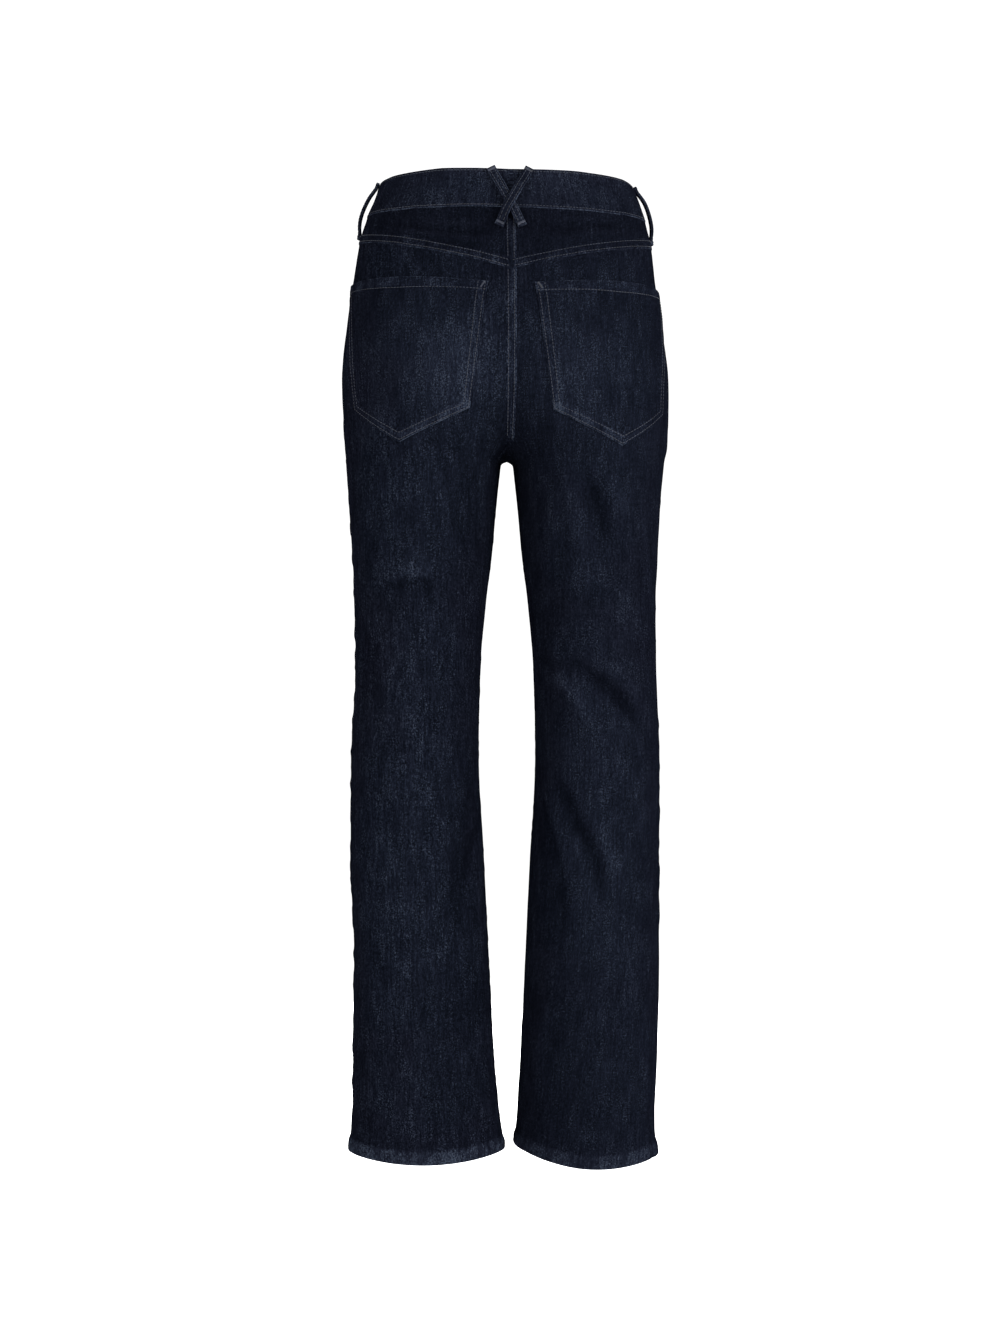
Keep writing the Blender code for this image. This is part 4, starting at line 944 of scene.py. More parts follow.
def unit(vectors):
    """Vectors at a length of one."""
    return vectors / np.linalg.norm(vectors, axis=1)[:, None]


def add_threads(piece, starts, ends, ups, radius=THREAD_RADIUS):
    """Note a piece's stitches by their ends and the way out of the cloth."""
    THREADS.setdefault(piece, []).append((starts, ends, ups, np.full(len(starts), radius)))


def surface(side, face, across, heights, out):
    """Points on the finished cloth, and the way out of it."""
    placed = place(side, face, across, heights)
    rise = relief(side, face, across, heights) + out
    low, high = (lift(side, placed, heights, rise + more) for more in (0.0, 1.0))
    return low, unit(high - low)


def spaced(line, pitch, length, lead=0.6):
    """Start and end of each stitch along a polyline."""
    so_far = travelled(line)
    starts = np.arange(lead, so_far[-1] - length, pitch)
    return [pairs(*(np.interp(at, so_far, line[:, k]) for k in (0, 1))) for at in (starts, starts + length)]


def add_stitches(piece, side, face, starts, ends, out):
    """Stitches between pattern points, at a height above the middle of the cloth."""
    tails, ups = surface(side, face, *starts.T, out)
    heads, _ = surface(side, face, *ends.T, out)
    add_threads(piece, tails, heads, ups)


def sew(piece, side, face, line, out):
    """A row of stitches along a line of the pattern."""
    starts, ends = spaced(line, STITCH_PITCH, STITCH_LENGTH)
    add_stitches(piece, side, face, starts, ends, out)


def sew_across(piece, side, face, shares, heights, out):
    """A row of stitches from side to side, at shares of the width and their heights."""
    sew(piece, side, face, pairs(shares * full_width(side, face, heights), heights), out)


def sew_down(piece, side, face, top, bottom, count, from_centre, out):
    """A row of stitches beside the centre seam."""
    heights = np.linspace(top, bottom, count)
    sew(piece, side, face, pairs(full_width(side, face, heights) - from_centre, heights), out)


def bar_tack(piece, side, face, middle, direction, span, out):
    """A short dense bar of stitches, centred on a pattern point and running along a direction."""
    direction = np.array(direction, float) / np.linalg.norm(direction)
    cross = np.array([-direction[1], direction[0]])
    centres = np.array(middle) + np.arange(-span / 2, span / 2, BAR_PITCH)[:, None] * direction
    add_stitches(piece, side, face, centres - cross * BAR_LENGTH / 2, centres + cross * BAR_LENGTH / 2, out)


def thread_mesh(name, parts, finish):
    """Stitches as one mesh of small bent rods."""
    starts, ends, ups, radius = (np.concatenate([part[k] for part in parts]) for k in range(4))
    length = np.linalg.norm(ends - starts, axis=1)
    forward = unit(ends - starts)
    side = unit(np.cross(forward, ups))
    up = np.cross(side, forward)
    around = THREAD_SIDES
    points = []
    for share, thick, height in THREAD_RINGS:
        middle = starts + forward * (share * length)[:, None] + up * (height * radius)[:, None]
        for turn in range(around):
            angle = 2 * math.pi * turn / around
            step = side * math.cos(angle) + up * math.sin(angle) * THREAD_FLATNESS
            points.append(middle + step * (thick * radius)[:, None])
    points = np.stack(points, axis=1)
    each = points.shape[1]
    faces = []
    for first in range(0, each - around, around):
        for turn in range(around):
            a, b = first + turn, first + (turn + 1) % around
            faces.append((a, b, b + around, a + around))
    caps = (np.arange(around)[::-1], np.arange(each - around, each))
    own = (np.arange(len(points)) * each)[:, None]
    polygons = (np.array(faces)[None] + own[..., None]).reshape(-1, 4).tolist()
    for cap in caps:
        polygons += (cap + own).tolist()
    mesh = bpy.data.meshes.new(name)
    mesh.from_pydata((points.reshape(-1, 3) * METRE).tolist(), [], polygons)
    made = add_object(name, mesh, finish, 70.0)
    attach(made, "root")
    return made


# ---------------------------------------------------------------- materials

def new_material(name):
    """A material with its nodes and its shader."""
    made = bpy.data.materials.new(name)
    made.use_nodes = True
    return made, made.node_tree, made.node_tree.nodes["Principled BSDF"]


def add_node(tree, kind, inputs=(), **settings):
    """A node with its settings, and its inputs as numbers or as other nodes' outputs."""
    made = tree.nodes.new(kind)
    for label, value in settings.items():
        setattr(made, label, value)
    for socket, value in dict(inputs).items():
        if isinstance(value, bpy.types.NodeSocket):
            tree.links.new(value, made.inputs[socket])
        else:
            made.inputs[socket].default_value = value
    return made


def calculate(tree, operation, first, second=0.0, clamp=False):
    """One sum on numbers or outputs."""
    made = add_node(tree, "ShaderNodeMath", {0: first, 1: second}, operation=operation, use_clamp=clamp)
    return made.outputs[0]


def plus(tree, *values, clamp=False):
    """The sum of two values or more, clamped at the last."""
    total = values[0]
    for number, value in enumerate(values[1:], 2):
        total = calculate(tree, "ADD", total, value, clamp and number == len(values))
    return total


def times(tree, *values):
    """The product of two values or more."""
    total = values[0]
    for value in values[1:]:
        total = calculate(tree, "MULTIPLY", total, value)
    return total


def noise(tree, vector, scale, detail=2.0, roughness=0.55):
    """Noise that repeats so many times in a metre, each way."""
    stretched = add_node(tree, "ShaderNodeVectorMath", {0: vector, 1: scale}, operation="MULTIPLY").outputs[0]
    inputs = {"Vector": stretched, "Scale": 1.0, "Detail": detail, "Roughness": roughness}
    return add_node(tree, "ShaderNodeTexNoise", inputs).outputs["Fac"]


def mapped(tree, value, **ends):
    """A value mapped from one range to another."""
    inputs = {label.replace("_", " "): number for label, number in ends.items()}
    return add_node(tree, "ShaderNodeMapRange", {"Value": value, **inputs}).outputs["Result"]


def mix_colour(tree, share, first, second):
    """A mix of two colours or outputs."""
    made = tree.nodes.new("ShaderNodeMix")
    made.data_type = "RGBA"
    for label, value in (("Factor", share), ("A", first), ("B", second)):
        socket = [s for s in made.inputs if s.name == label and (s.type == "RGBA") == (label != "Factor")][0]
        if isinstance(value, bpy.types.NodeSocket):
            tree.links.new(value, socket)
        else:
            socket.default_value = (*value, 1.0)
    return [s for s in made.outputs if s.type == "RGBA"][0]


def add_layers(tree, layers):
    """Sum of noises, each less its middle and times its share."""
    total = 0.0
    for fac, share in layers:
        total = plus(tree, total, times(tree, calculate(tree, "SUBTRACT", fac, 0.5), share))
    return total


def add_bump(tree, shader, strength, depth, height):
    """Fine relief of the surface, a depth in metres."""
    bump = add_node(tree, "ShaderNodeBump", {"Strength": strength, "Distance": depth, "Height": height})
    tree.links.new(bump.outputs["Normal"], shader.inputs["Normal"])


def indigo_ramp(tree, level):
    """The indigo of a yarn, from unrubbed to rubbed."""
    made = add_node(tree, "ShaderNodeValToRGB", {0: level})
    ramp = made.color_ramp
    ramp.elements.remove(ramp.elements[1])
    ramp.elements[0].position, ramp.elements[0].color = INDIGO_SHADES[0][0], (*INDIGO_SHADES[0][1], 1.0)
    for position, shade in INDIGO_SHADES[1:]:
        ramp.elements.new(position).color = (*shade, 1.0)
    return made.outputs["Color"]


def make_denim():
    """Dark rinse denim: slubby upright yarns in a twill, pale rubbed folds with painted highlights, painted
    light and shade carried in the tone's fade, and a paler reverse.
    """
    made, tree, shader = new_material("denim_dark_rinse")
    pattern = add_node(tree, "ShaderNodeAttribute", attribute_name="pattern").outputs["Vector"]
    tone = add_node(tree, "ShaderNodeAttribute", attribute_name="tone").outputs["Vector"]
    wear, fade, reverse = add_node(tree, "ShaderNodeSeparateXYZ", {0: tone}).outputs[:3]

    noises = [noise(tree, pattern, *settings) for settings in DENIM_NOISES.values()]
    slub, yarn, grain, mottle, cluster = noises
    clusters = mapped(tree, cluster, From_Min=0.36, From_Max=0.64)
    slant = add_node(tree, "ShaderNodeVectorMath", {0: pattern, 1: TWILL_LINES}, operation="DOT_PRODUCT")
    twill = calculate(tree, "SINE", times(tree, slant.outputs["Value"], 2 * math.pi))

    texture = add_layers(tree, ((slub, 0.80), (yarn, 1.10), (mottle, 0.28)))
    sparkle = plus(tree, add_layers(tree, ((grain, 2.9),)), times(tree, twill, 0.10))
    texture = plus(tree, texture, times(tree, sparkle, plus(tree, times(tree, clusters, 0.8), 0.35)))
    speckled = plus(tree, times(tree, grain, 0.9), 0.45)
    rubbed = times(tree, wear, speckled, plus(tree, times(tree, clusters, 0.9), 0.55))
    # The fade adds painted light and shade to the denim's own fade
    level = plus(tree, texture, times(tree, fade, 0.5), times(tree, rubbed, 0.62), 0.25, clamp=True)

    behind = mix_colour(tree, plus(tree, texture, 0.5, clamp=True), *REVERSE_SHADES)
    colour = mix_colour(tree, reverse, indigo_ramp(tree, level), behind)
    tree.links.new(colour, shader.inputs["Base Color"])
    tree.links.new(mapped(tree, slub, To_Min=0.80, To_Max=0.98), shader.inputs["Roughness"])
    shader.inputs["Specular IOR Level"].default_value = 0.0
    height = plus(tree, add_layers(tree, ((yarn, 1.0), (grain, 0.7))), times(tree, twill, 0.25))
    add_bump(tree, shader, 0.55, 0.0005, height)
    return made


def make_thread(name, colour):
    """Twisted sewing thread, rubbed paler in places."""
    made, tree, shader = new_material(name)
    spot = add_node(tree, "ShaderNodeTexCoord").outputs["Object"]
    twist = noise(tree, spot, (1600.0,) * 3, 1.0)
    rubbed = mapped(tree, noise(tree, spot, (120.0,) * 3), From_Min=0.38, From_Max=0.66)
    shade = times(tree, rubbed, plus(tree, twist, 0.5))
    paler = tuple(THREAD_PALER * value for value in colour)
    tree.links.new(mix_colour(tree, shade, colour, paler), shader.inputs["Base Color"])
    shader.inputs["Roughness"].default_value = 0.62
    shader.inputs["Specular IOR Level"].default_value = 0.25
    add_bump(tree, shader, 0.4, 0.0002, twist)
    return made


def make_metal(name, dark, bright, roughness):
    """Metal with an uneven tarnish."""
    made, tree, shader = new_material(name)
    spot = add_node(tree, "ShaderNodeTexCoord").outputs["Object"]
    tarnish = noise(tree, spot, (420.0,) * 3, 4.0, 0.6)
    tree.links.new(mix_colour(tree, tarnish, dark, bright), shader.inputs["Base Color"])
    shader.inputs["Metallic"].default_value = 1.0
    rough = mapped(tree, tarnish, To_Min=roughness - 0.1, To_Max=roughness + 0.2)
    tree.links.new(rough, shader.inputs["Roughness"])
    add_bump(tree, shader, 0.2, 0.0002, tarnish)
    return made


# ---------------------------------------------------------------- panels

def seam_columns(side, face, height, step):
    """Columns as (share of the width, distance added), close together at both seams, and their shares."""
    width = full_width(side, face, height)
    first, last = SIDE_POINTS[-1], CENTRE_POINTS[0]
    count = round((width - first - last) / step)
    middle = [(t, first * (1 - t) - last * t) for t in np.linspace(0, 1, count + 1)]
    columns = np.array([(0.0, d) for d in SIDE_POINTS[:-1]] + middle + [(1.0, -d) for d in CENTRE_POINTS[1:]])
    return columns, np.clip(columns[:, 0] + columns[:, 1] / width, 0, 1)


def spread_rows(near, far, length, step):
    """Shares of the way along, close together at both ends."""
    first, last = near[-1] / length, 1 - far[0] / length
    count = max(1, round((last - first) * length / step))
    return np.concatenate([np.array(near[:-1]) / length, np.linspace(first, last, count + 1),
                           1 - np.array(far[1:]) / length])


def lay_rows(side, face, columns, rows):
    """Pattern points of rows, each given by its heights and by how far its columns' shares move."""
    across, heights = [], []
    for height, shift in rows:
        width = full_width(side, face, height)
        across.append(np.clip((columns[:, 0] + shift) * width + columns[:, 1], 0.0, width))
        heights.append(height)
    return np.array(across), np.array(heights)


def panel_top(side, face, shares):
    """Heights of a panel's top edge, and how far its columns' shares move there to follow the scoop."""
    shift = np.zeros(len(shares))
    if face == "back":
        return yoke_height(shares), shift
    top = WAIST_SEAM + waist_shift("front", shares)
    curve = scoop_curve(side)[::-1]
    so_far = travelled(curve)
    on_curve = shares <= SCOOP_WIDTH
    at = so_far[-1] * shares[on_curve] / shares[on_curve].max()
    top[on_curve] = np.interp(at, so_far, curve[:, 1])
    curve_shares = curve[:, 0] / full_width(side, "front", curve[:, 1])
    shift[on_curve] = np.interp(at, so_far, curve_shares) - shares[on_curve]
    shift[0] = 0.0
    return top, shift


def panel_grid(side, face):
    """Pattern points of a leg panel in rows and columns: the seat, then the leg."""
    columns, shares = seam_columns(side, face, SEAT_MIDDLE, CLOTH_STEP)
    top, shift = panel_top(side, face, shares)
    hem = hem_height(side, face, shares)
    seat = spread_rows(PANEL_TOP_POINTS, FORK_ABOVE_POINTS, SEAT_LENGTH, CLOTH_STEP)
    leg = spread_rows(FORK_BELOW_POINTS, HEM_POINTS, CROTCH - HEM, CLOTH_STEP)
    rows = [(top * (1 - down) + CROTCH * down, shift * (1 - down)) for down in seat]
    rows += [(CROTCH * (1 - down) + hem * down, 0.0) for down in leg[1:]]
    return lay_rows(side, face, columns, rows)


def patch(share, heights, spot):
    """A soft patch, by the middle and half width as shares of the panel's width, then by heights."""
    middle, half_width, height, half_height = spot
    return bell(share, middle, half_width) * bell(heights, height, half_height)


def fade_light_and_shade_of(side, face, across, heights):
    """Where the cloth is paler or darker: the middle of each leg, partly fade and partly painted light; the
    seat or the front of the thigh, partly wear and partly painted light; painted shade in the fork and under
    the seat; and painted shade and highlight along creases and folds.
    """
    share = across / full_width(side, face, heights)
    low = ease(*SHIN, heights)
    # The stripe dims down the shin and to the hip, and under the seat in a painted shade
    level = 1 - SHIN_DIM * low - HIP_DIM * ease(*HIP, heights) - UNDER_SEAT_SHADE * bell(heights, *UNDER_SEAT)
    above, shift = STRIPE_PLACE[side]
    strength, spot = WORN_AND_LIT_PATCH[face]
    # A pale stripe down each leg, partly the denim's own fade and partly painted light
    value = STRIPE_FADE_AND_LIGHT * bell(share, above - shift * low, STRIPE_WIDTH) * level
    # A pale patch on the seat or the thigh, partly wear and partly painted light
    value += WORN_AND_LIT_FADE[side] * strength * patch(share, heights, spot)
    value -= FORK_SHADE * patch(share, heights, FORK_PATCH)
    # Painted shade in the troughs of creases and folds, and paler ridges, partly wear and partly painted
    # highlight
    value += CREASE_SHADING_AND_WEAR * crease_rise(side, face, across, heights)
    value += FOLD_SHADING_AND_WEAR * fold_rise(side, face, across, heights)
    return np.clip(value, -0.4, 1)


def make_panel(side, face, finish):
    """A front or back panel from its yoke or waist seam to its turned hem."""
    name = f"{face}_panel_{side}"
    grid = panel_grid(side, face)
    across, heights = (values.ravel() for values in grid)
    width = full_width(side, face, heights)
    above_hem = heights - hem_height(side, face, np.clip(across / width, 0, 1))
    turned = ease(HEM_DEPTH + 1.0, HEM_DEPTH - 1.0, above_hem)
    rounded = ease(1.2, -0.1, above_hem)
    flare = HEM_FLARE * ease(*HEM_FLARE_ENDS, above_hem)
    dent = 0.25 * bell(above_hem, HEM_ROW, DENT_WIDTH)
    outer = flare + WALL / 2 + HEM_OUTSIDE * turned - dent - 0.5 * rounded
    inner = flare - WALL / 2 - HEM_INSIDE * turned + 0.4 * rounded
    rubbed, paler = HEM_WEAR[side]
    wear = edge_wear_and_highlight("hem", above_hem) + (rubbed + speckle("hem", across, heights)) * turned
    fade = fade_light_and_shade_of(side, face, across, heights) + paler * ease(HEM_DEPTH + 3.5, HEM_DEPTH - 4.5, above_hem)
    if face == "back":
        seam = ease(FELL_END, FELL_END + 8, heights)
        outer += fell_rise(width - across) * seam
        wear += fell_wear_and_highlight(side, width - across) * seam
    else:
        opening, _ = distance_to_line(across, heights, scoop_curve(side))
        outer += turned_edge(opening, 9.5) * (opening < 12)
        wear += edge_wear_and_highlight("scoop", opening)
    add_cloth(name, f"{face}_{side}", side, face, grid, (outer, inner), wear, fade, finish, seamed=True)
    shares = np.linspace(0.02, 0.98, 60)
    row_out = WALL / 2 + HEM_OUTSIDE - 0.25
    sew_across(name, side, face, shares, hem_height(side, face, shares) + HEM_ROW, row_out)
    if face == "back":
        sew_down(name, side, face, YOKE_CENTRE - 1, FELL_END + 6, 60, FELL_HALF - STITCH_NEAR, ROW_OUT)


def make_yoke(side, finish):
    """The yoke, lapped on the back panel's top edge."""
    name = "yoke_cloth_" + side
    columns, shares = seam_columns(side, "back", YOKE_MIDDLE, PATCH_STEP)
    low, high = yoke_height(shares), WAIST_SEAM + waist_shift("back", shares)
    rows = spread_rows(YOKE_SEAM_POINTS, YOKE_TOP_POINTS, YOKE_LENGTH, PATCH_STEP)
    grid = lay_rows(side, "back", columns, [(low * (1 - up) + high * up, 0.0) for up in rows])
    across, heights = (values.ravel() for values in grid)
    width = full_width(side, "back", heights)
    above = heights - yoke_height(across / width)
    from_centre = width - across
    felled = fell_rise(from_centre) * (from_centre < FELL_HALF)
    outer = WALL / 2 + np.maximum(turned_edge(above), felled)
    wear = edge_wear_and_highlight("yoke", above)
    wear += (YOKE_WEAR + speckle("yoke", across, heights)) * ease(10.2, 8.8, above)
    wear = np.maximum(wear + YOKE_RIDGE_WEAR * bell(above, *YOKE_RIDGE), fell_wear_and_highlight(side, from_centre))
    fade = fade_light_and_shade_of(side, "back", across, heights) - YOKE_SHADE
    add_cloth(name, "yoke_" + side, side, "back", grid, (outer, -WALL / 2), wear, fade, finish, seamed=True)
    shares = np.linspace(0.01, 0.995, 60)
    for distance in (STITCH_NEAR, STITCH_FAR):
        sew_across(name, side, "back", shares, yoke_height(shares) + distance, ROW_OUT)
    sew_down(name, side, "back", WAIST_SEAM, YOKE_CENTRE + 11, 24, FELL_HALF - STITCH_NEAR, ROW_OUT)


def pocket_grid(side, sideways, downward, corner):
    """Pattern points of a back pocket, whose top edge bows and flares."""
    top_outer, top_inner, low_inner, point, low_outer = pocket_corners(side)
    u, v = (values[..., None] for values in np.meshgrid(sideways, downward))
    top = top_inner + (top_outer - top_inner) * u
    bottom = low_inner + (point - low_inner) * np.clip(u / corner, 0, 1)
    bottom = bottom + (low_outer - point) * np.clip((u - corner) / (1 - corner), 0, 1)
    spot = top * (1 - v) + bottom * v
    u, v = u[..., 0], v[..., 0]
    spot[..., 0] += POCKET_FLARE * bell(v, 0, 0.09) * (1 - u) ** 6
    spot[..., 1] += POCKET_BOW * np.sin(np.pi * u) * (1 - v) ** 4
    return to_pattern(side, spot[..., 0], spot[..., 1])


def make_pocket(side, finish):
    """A five-cornered patch pocket with a turned top edge and turned sides."""
    name = "pocket_cloth_" + side
    low_inner, point, low_outer = pocket_corners(side)[2:]
    corner = (point[0] - low_inner[0]) / (low_outer[0] - low_inner[0])
    sideways, downward = (spread_rows(POCKET_EDGE_POINTS, POCKET_EDGE_POINTS[::-1], length, PATCH_STEP)
                          for length in (POCKET_WIDTH, POCKET_LENGTH))
    sideways[nearest(sideways, corner)] = corner
    spots = pocket_grid(side, sideways, downward, corner)
    grid = spots[..., 0], spots[..., 1]
    across, heights = (values.ravel() for values in grid)
    lines = (spots[0], spots[-1], spots[:, 0], spots[:, -1])
    distances = [distance_to_line(across, heights, line)[0] for line in lines]
    from_top, from_bottom, from_inner, from_outer = distances
    edge = np.minimum(np.minimum(from_bottom, from_inner), from_outer)
    under = WALL / 2 + GAP
    raised = np.maximum(turned_edge(edge, 9.6), turned_edge(from_top, POCKET_HEM + 0.4))
    outer = under + WALL + raised - 0.5 * ease(0.9, 0, np.minimum(edge, from_top))
    wear = edge_wear_and_highlight("pocket", edge) + edge_wear_and_highlight("pocket_rows", edge)
    wear += edge_wear_and_highlight("pocket_foot", from_bottom) + edge_wear_and_highlight("pocket_top", from_top)
    hem_wear = POCKET_HEM_WEAR + speckle("pocket", across, heights)
    wear += hem_wear * ease(POCKET_HEM, POCKET_HEM - 1.4, from_top)
    wear += POCKET_FOOT_WEAR_AND_HIGHLIGHT * ease(10.0, 6.0, from_bottom) * ease(110, 70, from_inner)
    wear += POCKET_CORNER_WEAR * bell(from_inner, 16, 26) * bell(from_bottom, 20, 42)
    fade = fade_light_and_shade_of(side, "back", across, heights)
    add_cloth(name, "pocket_" + side, side, "back", grid, (outer, under), wear, fade, finish)
    out = under + WALL + TURNING - 0.25
    for row in POCKET_ROWS:
        first, last = (nearest(sideways, share) for share in (row / POCKET_WIDTH, 1 - row / POCKET_WIDTH))
        low = nearest(downward, 1 - row / POCKET_LENGTH)
        line = np.concatenate([spots[1:low, first], spots[low, first:last + 1], spots[low - 1:0:-1, last]])
        sew(name, side, "back", line, out)
    sew(name, side, "back", spots[nearest(downward, POCKET_HEM_ROW / POCKET_LENGTH), 1:-1], out)
    for column, slant in ((4, 0.25), (-5, -0.25)):
        bar_tack(name, side, "back", spots[4, column], (slant, 1.0), 6.5, out + 0.1)


def make_facing(side, finish):
    """The pocket facing that shows in the front pocket's opening."""
    curve = scoop_curve(side, FACING_UNDERLAP, 64)
    curve = curve[curve[:, 0] > 2.0]
    end, level = curve[:, :1], curve[:, 1:]
    share = np.linspace(0, 1, 46)
    end_share = end / full_width(side, "front", level)
    dip = waist_shift("front", end_share * share) - waist_shift("front", end_share)
    dip_share = 1 - np.clip((WAIST_SEAM - level) / (SCOOP_DEPTH + FACING_UNDERLAP), 0, 1)
    grid = end * share, level + dip_share * dip
    across, heights = (values.ravel() for values in grid)
    outs = (-WALL / 2 - GAP, -WALL / 2 - GAP - WALL)
    fade = fade_light_and_shade_of(side, "front", across, heights)
    add_cloth("pocket_facing_cloth_" + side, "pocket_facing_" + side, side, "front", grid, outs,
              np.zeros(across.size), fade, finish)


def fly_strip(name, node, width, length, top_out, thickness, finish):
    """A strip behind the left front's centre edge, rounded at its foot."""
    curve = fly_curve(width, length)
    curve = curve[full_width("left", "front", curve[:, 1]) - curve[:, 0] > 1.0]
    dense = np.linspace(0, len(curve) - 1, 3 * len(curve))
    start, level = (np.interp(dense, np.arange(len(curve)), curve[:, k])[:, None] for k in (0, 1))
    end = full_width("left", "front", level)
    share = np.linspace(0, 1, 12)
    grid = start + (end - start) * share, level + 0 * share
    across = grid[0].ravel()
    flat = np.zeros(across.size)
    add_cloth(name, node, "left", "front", grid, (top_out, top_out - thickness), flat, flat, finish,
              yarn=across, cut=full_width("left", "front", grid[1].ravel()) - across)


def make_fly(denim, brass):
    """The zip's tape with its teeth, and the shield behind it."""
    under = -WALL / 2 - GAP
    tape_wall = 0.6 * ZIP_WALL
    fly_strip("zip_tape", "fly_zip", ZIP_WIDTH, ZIP_LENGTH, under, tape_wall, denim)
    fly_strip("fly_shield_cloth", "fly_shield", FLY_WIDTH, FLY_LENGTH, under - ZIP_WALL - GAP, WALL, denim)
    heights = np.arange(FLY_TOP - 4, FLY_TOP - ZIP_LENGTH + 8, -TOOTH_PITCH)
    sway = TOOTH_SWAY * (-1.0) ** np.arange(len(heights))
    middle = full_width("left", "front", heights) - ZIP_WIDTH / 2 + sway
    out = under - tape_wall - 0.1
    tails, ups = surface("left", "front", middle - TOOTH_HALF, heights, out)
    heads, _ = surface("left", "front", middle + TOOTH_HALF, heights, out)
    teeth = thread_mesh("zip_teeth", [(tails, heads, -ups, np.full(len(tails), TOOTH_RADIUS))], brass)
    return teeth


def sew_front():
    """The fly's curved rows, the row along its edge, the centre seam below it, and both pocket openings."""
    out = WALL / 2
    left = ("front_panel_left", "left", "front")
    for distance in (FLY_WIDTH - STITCH_FAR, FLY_WIDTH - STITCH_NEAR):
        sew(*left, fly_curve(distance, FLY_LENGTH - 40 + distance), out)
    foot = FLY_TOP - FLY_LENGTH + 30
    seam_end = CROTCH + 26
    sew_down(*left, FLY_TOP - 2, seam_end, 50, STITCH_NEAR, out)
    sew_down(*left, foot - 2, seam_end, 20, STITCH_FAR, out)
    bar_tack(*left, (full_width("left", "front", foot) - 5, foot), (1, 0.15), 8.0, out + 0.2)
    for side in SIDES:
        name = "front_panel_" + side
        curve = scoop_curve(side, 0.0, 60)
        run = unit(np.gradient(curve, axis=0))
        for inset in (STITCH_NEAR, STITCH_FAR):
            line = curve + inset * pairs(-run[:, 1], run[:, 0])
            sew(name, side, "front", line[(line[:, 0] > 2.0) & (line[:, 1] < WAIST_SEAM - 3.0)], ROW_OUT)
        bar_tack(name, side, "front", (4.5, WAIST_SEAM - SCOOP_DEPTH - 5), (1, 0), 7.0, out + TURNING)


# ---------------------------------------------------------------- waistband, button and loops

def band_stations():
    """Places round the waistband: side, face, share and step in, from its left end to its underlap."""
    width = full_width("left", "front", 0.0)
    under = BAND_WALL + GAP
    near_end = 1 - np.arange(0.0, BUTTONHOLE_REACH, BUTTONHOLE_STEP) / width
    lap = 1 - LAP_LENGTH / width
    runs = (("left", "front", near_end), ("left", "front", np.linspace(near_end[-1], 0, 60)[1:]),
            ("left", "back", np.linspace(0, 1, 76)[1:]), ("right", "back", np.linspace(1, 0, 76)[1:]),
            ("right", "front", np.linspace(0, lap, 68)[1:]))
    stations = [(side, face, share, 0.0) for side, face, shares in runs for share in shares]
    for share in np.linspace(lap, 1 - 1.5 / width, 8)[1:]:
        stations.append(("right", "front", share, -under * ease(0.0, LAP_BEND, (share - lap) * width)))
    for distance in np.linspace(0.8, BAND_UNDERLAP, 16):
        stations.append(("left", "front", 1 - distance / width, -under))
    return stations


def band_grid(stations, ups):
    """The band's pattern points, and how far from its left end each station lies."""
    across, heights, middles = [], [], []
    for side, face, share, _ in stations:
        level = band_height(side, face, share, ups)
        across.append(share * full_width(side, face, level))
        heights.append(level)
        middles.append(share * full_width(side, face, 0.0))
    on_panel = [before[:2] == after[:2] for before, after in zip(stations, stations[1:])]
    from_end = np.concatenate([[0.0], np.cumsum(np.abs(np.diff(middles)) * on_panel)])
    return np.array(across).ravel(), np.array(heights).ravel(), from_end


def cut_buttonhole(quads, from_end, ups):
    """The quads round the slot, the points on its rim, and how far each moves on to it."""
    along, aside = (values.ravel() for values in np.meshgrid(from_end - SLOT_MIDDLE, ups - BAND_TALL / 2,
                                                             indexing="ij"))
    to_axis = along - np.clip(along, -SLOT_HALF, SLOT_HALF)
    gap = np.hypot(to_axis, aside) - SLOT_RADIUS
    is_open = ((gap[quads] < 0.25).sum(axis=1) >= 2) & (along[quads] < BUTTONHOLE_LENGTH).all(axis=1)
    rim = np.intersect1d(quads[is_open], quads[~is_open])
    push = pairs(to_axis[rim], aside[rim])
    return quads[~is_open], rim, push * (gap[rim] / np.maximum(np.linalg.norm(push, axis=1), TINY))[:, None]


def band_layers(stations, across, heights, half_wall):
    """The band's outer and inner points, each on the panel that its station belongs to."""
    rows = len(across) // len(stations)
    steps = np.repeat([station[3] for station in stations], rows)
    layers = np.zeros((2, len(across), 3))
    for side in SIDES:
        for face in FACES:
            chosen = np.repeat([station[:2] == (side, face) for station in stations], rows)
            placed = place(side, face, across[chosen], heights[chosen])
            rise = BAND_RELIEF * relief(side, face, across[chosen], heights[chosen]) + steps[chosen]
            for layer, wall in zip(layers, (half_wall, -half_wall)):
                layer[chosen] = lift(side, placed, heights[chosen], rise + wall[chosen])
    return layers


